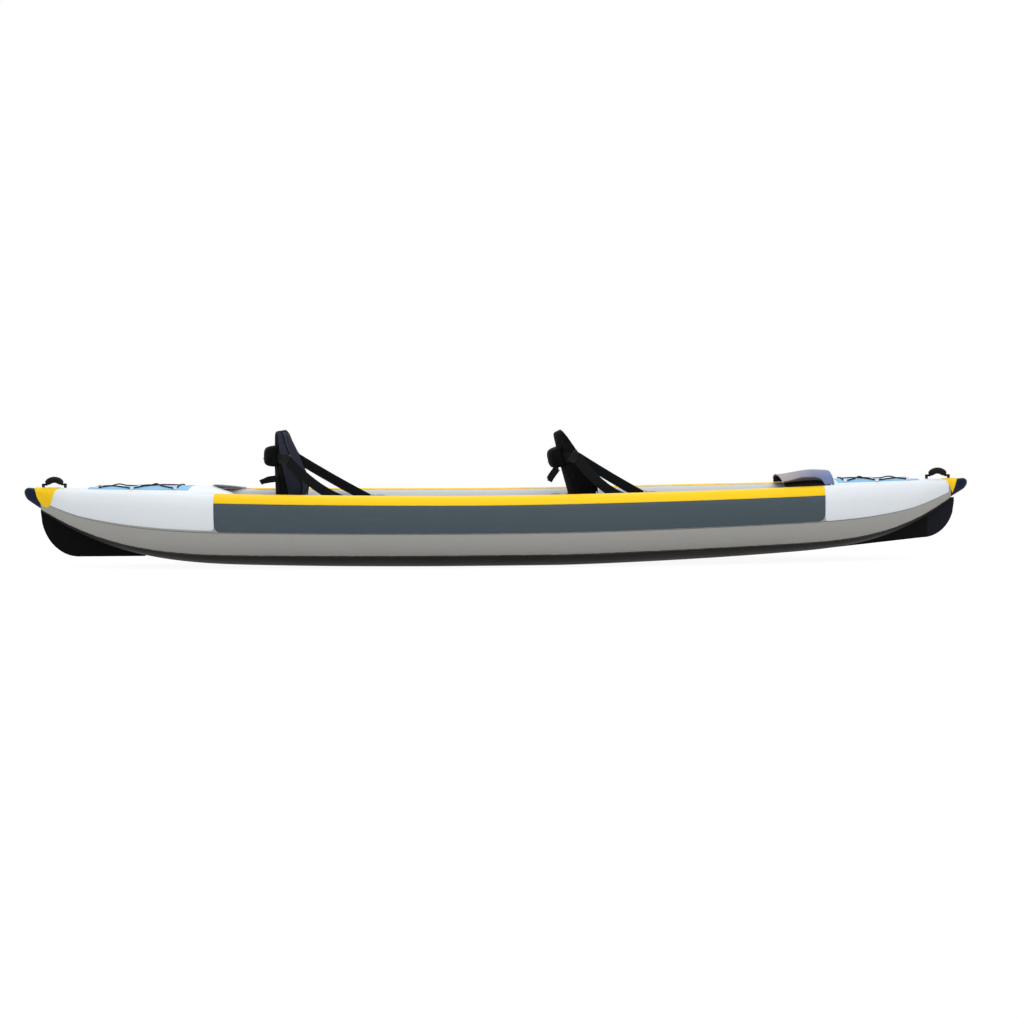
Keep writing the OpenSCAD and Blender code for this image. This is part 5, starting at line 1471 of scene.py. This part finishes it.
@dataclass
class WallPatches:
    """The round patches on the inner walls, and the rings and clips on them."""

    v: float = 3.06
    ring_x: tuple[float, ...] = (-0.558, -1.110, 0.747, 0.285)
    handle_x: tuple[float, ...] = (0.0245, 0.1675)
    ring_r: float = 0.056
    handle_r: float = 0.046
    rim: float = 0.84

    def build(self) -> None:
        """Builds the patches and dresses the rings."""
        self.discs("ring_discs", self.ring_x, self.ring_r, Dress.PATCH, "ring_patches")
        self.discs("handle_discs", self.handle_x, self.handle_r, Dress.TRIM, "side_handle_patches")
        refinish(Dress.STEEL, "strap_rings")
        refinish(Dress.BRASS, "strap_hooks")
        refinish(Dress.GRIP, "ring_tabs")

    def discs(self, name: str, places: Sequence[float], radius: float, finish: Finish, node: str) -> None:
        """Discs wrapped over the shoulder: polar grids laid along the wall, with a pressed rim."""
        shape = Shape(name)
        rho = np.array([0.02, 0.2, 0.4, 0.6, 0.75, 0.8, 0.84, 0.88, 0.93, 0.97, 0.99, 1.0])[:, None]
        a = np.linspace(0, TURN, 72, endpoint=False)[None]
        groove = 0.0006 * np.exp(-((rho - self.rim) / 0.03) ** 2)
        lift = LINES.gap + 0.002 * round_edge((1 - rho) * radius, 0.002, 0.2) - groove
        for x0 in places:
            deep = LINES.inner_y(x0) - LINES.foot_y(x0)
            face = np.hypot(deep, LINES.shoulder_z(x0) - LINES.chine_z(x0))
            run = (self.v - 3) * face + radius * rho * np.sin(a)
            v = 3 + np.where(run < 0, run / (LINES.tube_r(x0) * np.pi / 2), run / face)
            x = x0 + radius * rho * np.cos(a)
            top = LINES.raised(LINES.wall_pt, x, v, lift + 0 * a)
            low = LINES.raised(LINES.wall_pt, x[::-1], v[::-1], np.full(v.shape, 0.0001))
            ring = np.concatenate([top, low])
            uv = np.stack([np.concatenate([x, x[::-1]]), np.concatenate([run, run[::-1]])], -1)
            for side in Side:
                shape.grid(side.turned(ring), closed(uv), wrap=True, caps=True)
        shape.put("hull", finish, node)


class Fittings:
    """The valves, the drain and the seats' sewn hinges, whose solids stay as they are."""

    def build(self) -> None:
        """Gives each fitting its material."""
        refinish(Dress.PLASTIC, "valve_bodies", "drain_fitting", "drain_plug")
        for valve in ("floor", "starboard", "port"):
            refinish(Dress.PLASTIC, f"{valve}_valve_cap")
            refinish(Dress.PLUNGER, f"{valve}_valve_plunger")
        refinish(Dress.STEEL, "valve_springs")
        refinish(Dress.PIPING, "seat_welts")


def points_of(piece: bpy.types.Object) -> Array:
    """A piece's points, one in each row."""
    flat = np.empty(len(piece.data.vertices) * 3)
    piece.data.vertices.foreach_get("co", flat)
    return flat.reshape(-1, 3)


def set_points(piece: bpy.types.Object, points: Array) -> None:
    """Moves a piece's points."""
    piece.data.vertices.foreach_set("co", points.ravel())
    piece.data.update()


def inflate(piece: bpy.types.Object, cap: float, voxel: float) -> None:
    """Fills a closed pad: a short cloth simulation under pressure, each point kept within a cap.

    Args:
        piece: The pad, whose mesh is replaced by the filled one.
        cap: The most that a point may move.
        voxel: Size of the even mesh that is filled.
    """
    scene = bpy.context.scene
    bpy.context.view_layer.objects.active = piece
    remesh = piece.modifiers.new("even", "REMESH")
    remesh.mode, remesh.voxel_size = "VOXEL", voxel
    even = piece.evaluated_get(bpy.context.evaluated_depsgraph_get())
    mesh = bpy.data.meshes.new_from_object(even)
    piece.modifiers.clear()
    piece.data = mesh
    rest = points_of(piece)
    cloth = piece.modifiers.new("fill", "CLOTH")
    settings = cloth.settings
    settings.use_pressure, settings.uniform_pressure_force = True, 4.0
    settings.quality, settings.mass = 4, 0.3
    settings.tension_stiffness = settings.compression_stiffness = 25
    settings.effector_weights.gravity = 0
    for step in range(1, 21):
        scene.frame_set(step)
    moved = piece.evaluated_get(bpy.context.evaluated_depsgraph_get())
    shift = points_of(moved) - rest
    piece.modifiers.clear()
    scene.frame_set(1)
    size = np.linalg.norm(shift, axis=1, keepdims=True)
    set_points(piece, rest + shift * np.minimum(1, cap / np.maximum(size, 1e-9)))


def eased(path: Array, count: int, reach: int) -> Array:
    """A path at even steps, each point the mean of its neighbours under a bell of weights.

    Args:
        path: Points along the path.
        count: How many points to return.
        reach: Neighbours taken on each side.

    Returns:
        The smoother path.
    """
    run = run_of(path)
    even = np.linspace(0, run[-1], count)
    points = np.stack([np.interp(even, run, axis) for axis in path.T], -1)
    weights = np.exp(-np.linspace(-2, 2, 2 * reach + 1) ** 2)
    wide = np.pad(points, ((reach, reach), (0, 0)), mode="reflect", reflect_type="odd")
    return np.stack([np.convolve(axis, weights / weights.sum(), "valid") for axis in wide.T], -1)


@dataclass
class Seat:
    """A clip-in seat: cushion, folding backrest with a pouch, and webbing to the hull's rings."""

    name: str
    hinge: tuple[float, float]
    lean: float
    ahead: tuple[float, float, float]
    behind: tuple[float, float, float]
    tail: tuple[float, float, float, float]
    slack: float
    slate: bool
    start: float = 0.00735
    back_len: float = 0.430
    back_w: float = 0.430
    thick: float = 0.046
    wrap: float = 0.064
    wrap_foot: float = 0.136
    wing_rise: float = 0.096
    seams: tuple[float, float] = (0.58, 0.76)
    welt_top: float = 0.982
    welt_r: float = 0.0030
    ladder_half: float = 0.085
    ladder: tuple[float, ...] = (0.13, 0.23, 0.325)
    cushion_len: float = 0.400
    cushion_half: float = 0.205
    cushion_tall: float = 0.031
    cushion_gap: float = 0.0076
    cushion_rows: tuple[float, ...] = (0.11, 0.21, 0.31)
    cushion_line: float = 0.14
    pouch_half: float = 0.130
    pouch_deep: float = 0.046
    pouch_t: tuple[float, float] = (0.6, 0.83)
    flap_t: float = 0.69
    buckle_t: float = 0.6
    strap_w: float = 0.045
    strap_thick: float = 0.0025
    tail_w: float = 0.024
    clip: float = 0.0602
    taut: float = 0.004
    body: str = field(init=False)

    def __post_init__(self) -> None:
        """Names the body that the backrest moves with."""
        self.body = f"{self.name}_back"

    @property
    def slope(self) -> Array:
        """The direction up the leaned backrest."""
        return np.array([-math.sin(self.lean), 0, math.cos(self.lean)])

    def build(self) -> None:
        """Builds the seat from the floor up."""
        self.cushion()
        self.backrest()
        self.piping()
        self.pouch()
        self.straps()
        self.wing_bands()
        self.tails()
        refinish(Dress.BUCKLE, f"{self.name}_seat_buckles")

    def world(self, p: Array) -> Array:
        """Points of the backrest's own frame, leaned about the hinge."""
        c, s = math.cos(self.lean), math.sin(self.lean)
        x, y, z = p[..., 0], p[..., 1], p[..., 2]
        return np.stack([self.hinge[0] + x * c - z * s, y, self.hinge[1] + x * s + z * c], -1)

    def local(self, p: Array) -> Array:
        """Points of the hull's frame in the backrest's own."""
        p = p.reshape(-1, 3) - np.array([self.hinge[0], 0, self.hinge[1]])
        c, s = math.cos(self.lean), math.sin(self.lean)
        return np.stack([p[:, 0] * c + p[:, 2] * s, p[:, 1], -p[:, 0] * s + p[:, 2] * c], -1)

    def half(self, t: Array) -> Array:
        """The backrest's half width: fuller above its foot, narrower at its top, with a round head."""
        return (self.back_w / 2 * (0.88 + 0.12 * ease(t / 0.3)) * (1 - 0.3 * ease((t - 0.6) / 0.4))
                * np.sqrt(1 - 0.5 * np.maximum(0, (t - 0.9) / 0.1) ** 2))

    def foot(self, s: Array) -> Array:
        """Height of the lower edge, which rises to the wings with the cube of s."""
        return self.start + self.wing_rise * np.abs(s) ** 3

    def middle(self, y: Array, t: Array) -> Array:
        """The middle plane, wrapped forward as the square of y, less so towards the top."""
        return mix(self.wrap_foot, self.wrap, ease(t / 0.75)) * (y / (self.back_w / 2)) ** 2

    def face(self, s: Array, t: Array, side: float) -> Array:
        """The backrest's face: its middle plane plus or minus half its depth.

        Args:
            s: From -1 to 1 across.
            t: From 0 at its foot to 1 at its top.
            side: 1 for the front, -1 for the back.

        Returns:
            Points in the backrest's own frame.
        """
        s, t = np.broadcast_arrays(np.asarray(s, float), np.asarray(t, float))
        y = self.half(t) * s
        round_side = np.sqrt(1 - 0.75 * np.abs(s) ** 4)
        round_head = np.sqrt(1 - 0.7 * np.maximum(0, (t - 0.94) / 0.06) ** 2)
        depth = self.thick * (0.4 + 0.6 * ease(t / 0.16)) * (1 - 0.3 * ease((t - 0.6) / 0.4))
        depth = depth * round_side * round_head
        return np.stack([self.middle(y, t) + side * depth / 2, y, mix(self.foot(s), self.back_len, t)], -1)

    def place(self, p: Array) -> tuple[Array, Array]:
        """Where points of the backrest's own frame lie on it: s and t, by three rounds of correction."""
        t = (p[:, 2] - self.start) / (self.back_len - self.start)
        for _ in range(3):
            s = np.clip(p[:, 1] / self.half(np.clip(t, 0, 1)), -1, 1)
            t = (p[:, 2] - self.foot(s)) / (self.back_len - self.foot(s))
        return s, np.clip(t, 0, 1)

    def pad(self, name: str, ring: Array, cap: float, voxel: float) -> bpy.types.Object:
        """A closed form of seat cloth, filled by simulation.

        Args:
            name: The piece's name, behind the seat's.
            ring: Rows round the form by columns by 3.
            cap: The most that a point may move.
            voxel: Size of the even mesh that is filled.

        Returns:
            The filled piece, with no finish yet.
        """
        rows, cols = ring.shape[:2]
        shape = Shape(f"{self.name}_{name}").grid(ring, np.zeros((rows, cols + 1, 2)), wrap=True, caps=True)
        piece = shape.build(Dress.SEAT)
        inflate(piece, cap, voxel)
        return piece

    def backrest(self) -> None:
        """The padded backrest: a closed form filled by simulation, then sewn with channels."""
        s = soft(np.linspace(-1, 1, 61), 0.8)[None]
        t = np.concatenate([np.linspace(0, 0.9, 60), np.linspace(0.905, 1, 16)])[:, None]
        ring = np.concatenate([self.face(s, t, 0.86), self.face(s, t, -0.86)[:, ::-1]], 1)
        piece = self.pad("back_pad", self.world(ring), 0.005, 0.005)
        self.sew(piece)
        self.finish_pad(piece, Dress.SEAT, Dress.SLATE if self.slate else Dress.SEAT)
        self.mark_panels(piece)
        settle(piece, self.body, Dress.SEAT, f"{self.name}_backrest")

    def sew(self, piece: bpy.types.Object) -> None:
        """Presses sewn lines in: a ladder of channels in front, two seams on the back of each wing."""
        p = self.local(points_of(piece))
        s, t = self.place(p)
        off = p[:, 0] - self.middle(p[:, 1], t)
        inside = np.abs(p[:, 1]) < self.ladder_half
        dent = np.exp(-((np.abs(p[:, 1]) - self.ladder_half) / 0.006) ** 2)
        for height in self.ladder:
            dent = np.maximum(dent, np.exp(-((p[:, 2] - height) / 0.006) ** 2) * inside)
        seam = sum(np.exp(-((np.abs(s) - at) / 0.022) ** 2) for at in self.seams) * (t < 0.95)
        p[:, 0] += ease(-off / 0.012) * seam * 0.0035 - ease(off / 0.012) * dent * 0.006
        set_points(piece, self.world(p))

    def mark_panels(self, piece: bpy.types.Object) -> None:
        """Gives the front and the backs of the wings their own cloth; the rest stays plain."""
        centres = np.empty(len(piece.data.polygons) * 3)
        piece.data.polygons.foreach_get("center", centres)
        p = self.local(centres)
        s, t = self.place(p)
        off = p[:, 0] - self.middle(p[:, 1], t)
        panel = (t > 0.03) & (t < 0.975) & ((off > 0.002) | (np.abs(s) > self.seams[1]))
        piece.data.polygons.foreach_set("material_index", panel.astype(np.int32))

    @staticmethod
    def finish_pad(piece: bpy.types.Object, *finishes: Finish) -> None:
        """Dresses a filled pad, smooths it and subdivides it once."""
        mesh = piece.data
        mesh.materials.clear()
        for finish in finishes:
            mesh.materials.append(finish.material())
        mesh.polygons.foreach_set("use_smooth", np.ones(len(mesh.polygons), bool))
        even = piece.modifiers.new("even", "SMOOTH")
        even.factor, even.iterations = 0.5, 3
        fine = piece.modifiers.new("fine", "SUBSURF")
        fine.levels = fine.render_levels = 1

    def piping(self) -> None:
        """A welt round the backrest's outline, and thin cords along the seams of the wings."""
        t = np.linspace(0.02, self.welt_top, 80)
        head = self.face(np.linspace(1, -1, 60)[1:-1], self.welt_top, 0)
        outline = np.concatenate([self.face(1.0, t, 0), head, self.face(-1.0, t[::-1], 0)])
        level = (1, 0, 0.25)
        shape = Shape(f"{self.name}_back_welt")
        shape.tube(self.world(eased(outline, 320, 7)), self.welt_r, up=level)
        for at in self.seams:
            for side in Side:
                line = self.face(side.value * at, np.linspace(0.04, 0.95, 90), -1) + [0.0006, 0, 0]
                shape.tube(self.world(line), 0.0019, up=level, sides=8)
        shape.put(self.body, Dress.PIPING)

    def cushion(self) -> None:
        """The seat cushion: a crowned block drawn in between its corners, filled and sewn across."""
        near = np.array([0.92, 0.96, 0.985, 0.995])
        q = np.concatenate([-near[::-1], np.linspace(-0.86, 0.86, 40), near])[:, None]
        full = (1 - np.abs(q) ** 8) ** 0.3
        x = self.hinge[0] + self.cushion_gap + self.cushion_len * (1 + q) / 2
        wide = self.cushion_half * (0.93 + 0.07 * full) - 0.004
        tall = self.cushion_tall * (0.25 + 0.75 * full) - 0.002
        a = np.linspace(0, TURN, 72, endpoint=False)[None]
        y = wide * soft(np.cos(a), 0.4)
        z = LINES.mat_top(x) + LINES.gap + tall * (1 + soft(np.sin(a), 0.55))
        piece = self.pad("cushion_pad", np.stack(np.broadcast_arrays(x, y, z), -1), 0.006, 0.007)
        self.press(piece)
        self.finish_pad(piece, Dress.SEAT)
        settle(piece, "hull", Dress.SEAT, f"{self.name}_seat_cushion")

    def press(self, piece: bpy.types.Object) -> None:
        """Keeps the cushion on the mat and behind the welt, and presses channels into its top."""
        p = points_of(piece)
        base = LINES.mat_top(p[:, 0]) + LINES.gap
        top = ease((p[:, 2] - base - 0.03) / 0.02)
        dent = np.exp(-((np.abs(p[:, 1]) - self.cushion_line) / 0.007) ** 2)
        for place in self.cushion_rows:
            dent = np.maximum(dent, np.exp(-((p[:, 0] - self.hinge[0] - place) / 0.007) ** 2))
        p[:, 2] = np.maximum(p[:, 2] - top * dent * 0.008, base)
        p[:, 0] = np.maximum(p[:, 0], self.hinge[0] + self.cushion_gap)
        set_points(piece, p)

    def pouch_pt(self, s: Array, t: Array, deep: Number) -> Array:
        """Points off the back of the backrest, at a depth, in rows of equal height."""
        s, t = np.broadcast_arrays(np.asarray(s, float), np.asarray(t, float))
        y = self.pouch_half * s
        across = y / self.half(t)
        height = mix(self.start, self.back_len, t)
        face = self.face(across, (height - self.foot(across)) / (self.back_len - self.foot(across)), -1)
        return np.stack([face[..., 0] - 0.0018 - deep, y, height], -1)

    def pouch(self) -> None:
        """The rolled pouch: a soft box on the back with round corners, and a piped flap edge."""
        q = np.concatenate([[0.012, 0.03, 0.06], np.linspace(0.1, 0.9, 24), [0.94, 0.97, 0.988]])[:, None]
        s = soft(np.linspace(-1, 1, 41), 0.85)[None]
        deep = self.pouch_deep * (1 - np.abs(2 * q - 1) ** 4) ** 0.4 * (1.02 - np.abs(s) ** 6) ** 0.4
        t = mix(*self.pouch_t, q)
        ring = np.concatenate([self.pouch_pt(s, t, 0.0), self.pouch_pt(s, t, deep)[:, ::-1]], 1)
        piece = self.pad("pouch_bag", self.world(ring), 0.004, 0.005)
        self.finish_pad(piece, Dress.SEAT)
        settle(piece, self.body, Dress.SEAT, f"{self.name}_seat_pouch")
        line = np.linspace(-0.96, 0.96, 60)
        bulge = (self.pouch_deep + 0.002) * (1 - 0.1 ** 4) ** 0.4 * (1.02 - np.abs(line) ** 6) ** 0.4
        edge = self.world(self.pouch_pt(line, self.flap_t, bulge + 0.002))
        Shape(f"{self.name}_pouch_flap").tube(edge, 0.0024, sides=8).put(self.body, Dress.PIPING)

    def buckle(self) -> Array:
        """The middle of the port buckle, beside the wing's edge."""
        return self.world(self.face(1.0, self.buckle_t, 0) + [-0.026, 0.0085, 0])

    def straps(self) -> None:
        """The webbing: from each buckle forward to its ring, and low from the back to the rear rings.

        The forward straps hang slacker to starboard.
        """
        buckle, ahead, behind = self.buckle(), np.array(self.ahead), np.array(self.behind)
        q = np.linspace(0, 1, 40)[:, None]
        way = unit(ahead - buckle)
        taut = mix(buckle + way * 0.0153, ahead - way * self.clip, q)
        tie = self.world(self.face(0.62, 0.2, -1) - [0.0034, 0, 0])
        rear = mix(tie, behind + unit(tie - behind) * self.clip, q)
        twist = mix(self.slope, UP, ease(q))
        for side, slack in ((Side.PORT, self.taut), (Side.STARBOARD, self.slack)):
            front = taut - UP * slack * (4 * q * (1 - q))
            for part, path, across in (("front", front, UP), ("rear", rear, twist)):
                shape = Shape(f"{self.name}_{side.label}_{part}_web")
                shape.band(side.turned(path), side.turned(across), self.strap_w, self.strap_thick)
                piece = shape.build(Dress.WEB)
                ends = side.turned(path[[-1, 0]])
                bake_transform(piece)
                if side is Side.PORT and part == "front":
                    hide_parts(f"{self.name}_seat_straps")
                log.info("%s blends to %s", piece.name, self.body)

    def wing_bands(self) -> None:
        """The webbing's sewn part: round the back of each wing, from the pouch down to the buckle."""
        shape = Shape(f"{self.name}_wing_webs")
        s = np.linspace(0.64, 0.985, 40)
        path = self.face(s, mix(self.flap_t, self.buckle_t, (s - 0.64) / 0.36), -1) - [0.0026, 0, 0]
        for side in Side:
            shape.band(side.turned(self.world(path)), self.slope, self.strap_w, self.strap_thick)
        shape.put(self.body, Dress.WEB)

    def tails(self) -> None:
        """The webbing's loose ends behind the backrest: on edge, straight, their tips turned down."""
        high, off, length, drop = self.tail
        d = np.linspace(0, length, 50)[:, None]
        start = self.world(self.face(0.55, high, -1) - [off, 0, 0])
        tip = np.clip((d - length + 0.016) / 0.016, 0, 1) ** 1.6
        path = start + d * np.array([-math.cos(drop), 0, -math.sin(drop)]) - tip * UP * 0.005
        across = np.array([-math.sin(drop), 0, math.cos(drop)])
        shape = Shape(f"{self.name}_web_ends")
        for side in Side:
            shape.band(side.turned(path), across, self.tail_w, self.strap_thick)
        shape.put(self.body, Dress.WEB, f"{self.name}_strap_tails")


@dataclass
class Studio:
    """A pale floor, soft light and the camera of the photograph."""

    target: tuple[float, float, float] = (0.0747, 0.0, 0.2352)
    distance: float = 12.0
    elevation: float = 3.2
    roll: float = 0.6
    width: float = 4.783
    sensor: float = 36.0
    fill: float = 0.40
    sky: float = 0.70
    key: float = 180.0
    back: float = 0.6
    lamp_size: float = 5.0
    floor_half: float = 60.0
    floor_glow: float = 1.06
    floor_share: float = 0.88

    def build(self) -> None:
        """Sets up the view, the light, the floor and the camera."""
        scene = bpy.context.scene
        scene.view_settings.view_transform = "Standard"
        self.world(scene)
        self.floor()
        self.lamp("key", (0.6, -3.4, 5.6), self.key)
        self.lamp("back", (-0.5, 3.6, 5.0), self.key * self.back)
        self.camera(scene)

    def world(self, scene: bpy.types.Scene) -> None:
        """A white world to the camera, gloss and glass; to all else a soft fill, stronger from above."""
        world = bpy.data.worlds.new("studio")
        scene.world = world
        g = Graph(world)
        height = g.split(g.coordinate("Generated"))[2]
        sky = g.node("ShaderNodeMapRange", {}, {"Value": height, "From Min": -0.1, "From Max": 0.9,
                                                "To Min": self.fill, "To Max": self.sky})
        level = g.node("ShaderNodeMapRange", {}, {"Value": self.shown(g), "To Min": sky, "To Max": 1.0})
        back = g.node("ShaderNodeBackground", {}, {"Color": (1, 1, 1, 1), "Strength": level})
        g.node("ShaderNodeOutputWorld", {}, {"Surface": back})

    @staticmethod
    def shown(g: Graph) -> Field:
        """1 for rays from the camera, gloss or glass."""
        rays = g.tree.nodes.new("ShaderNodeLightPath").outputs
        camera, gloss, glass = (Field(g, rays[f"Is {kind} Ray"])
                                for kind in ("Camera", "Glossy", "Transmission"))
        return camera.math("MAXIMUM", gloss).math("MAXIMUM", glass)

    def floor(self) -> None:
        """A wide floor: white to the camera, less the object's soft shadow."""
        corners = np.array([[-1, -1], [1, -1], [1, 1], [-1, 1]]) * self.floor_half
        mesh = bpy.data.meshes.new("studio_floor")
        mesh.from_pydata([(x, y, -0.001) for x, y in corners.tolist()], [], [(0, 1, 2, 3)])
        material = bpy.data.materials.new("studio_floor")
        g = Graph(material)
        diffuse = g.node("ShaderNodeBsdfDiffuse", {}, {"Color": (0.86, 0.86, 0.86, 1)})
        glow = g.node("ShaderNodeEmission", {}, {"Color": (1, 1, 1, 1), "Strength": self.floor_glow})
        both = g.node("ShaderNodeMixShader", {}, {0: self.shown(g) * self.floor_share, 1: diffuse, 2: glow})
        g.node("ShaderNodeOutputMaterial", {}, {"Surface": both})
        mesh.materials.append(material)
        floor = bpy.data.objects.new("studio_floor", mesh)
        bpy.context.scene.collection.objects.link(floor)

    def lamp(self, name: str, place: Sequence[float], power: float) -> None:
        """A square area lamp turned to the middle of the hull."""
        data = bpy.data.lights.new(name, "AREA")
        data.shape, data.size, data.energy = "SQUARE", self.lamp_size, power
        lamp = bpy.data.objects.new(name, data)
        lamp.location = place
        lamp.rotation_euler = (Vector((0, 0, 0.2)) - Vector(place)).to_track_quat("-Z", "Y").to_euler()
        bpy.context.scene.collection.objects.link(lamp)

    def camera(self, scene: bpy.types.Scene) -> None:
        """The camera: level with the gunwale, a little above, rolled as the photograph is."""
        data = bpy.data.cameras.new("camera")
        data.sensor_width = self.sensor
        data.lens = self.sensor * self.distance / self.width
        data.clip_end = 200.0
        camera = bpy.data.objects.new("camera", data)
        e = math.radians(self.elevation)
        back = Vector((0, -math.cos(e), math.sin(e)))
        camera.location = Vector(self.target) + back * self.distance
        turn = (-back).to_track_quat("-Z", "Y").to_matrix().to_4x4()
        roll = math.radians(self.roll)
        camera.rotation_euler = (turn @ Matrix.Rotation(-roll, 4, "Z")).to_euler()
        scene.collection.objects.link(camera)
        scene.camera = camera


def main() -> None:
    """Builds every sub-assembly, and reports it."""
    logging.basicConfig(level=logging.INFO, format="%(name)s: %(message)s")
    rear = Seat("rear", hinge=(-1.000, 0.200118), lean=math.radians(1), ahead=(-0.557576, 0.296696, 0.259794),
                behind=(-1.108890, 0.236249, 0.268177), tail=(0.45, 0.0021, 0.086, math.radians(8)),
                slack=0.040, slate=True)
    front = Seat("front", hinge=(0.395, 0.198116), lean=math.radians(15), ahead=(0.746374, 0.283156, 0.263031),
                 behind=(0.284891, 0.305925, 0.256856), tail=(0.585, 0.040, 0.066, math.radians(54)),
                 slack=0.058, slate=False)
    for part in (Studio(), Chambers(), OuterPanels(), Decks(), Ends(), Lacing(), Handles(), WallPatches(),
                 Fittings(), rear, front):
        part.build()


if __name__ == "__main__":
    main()
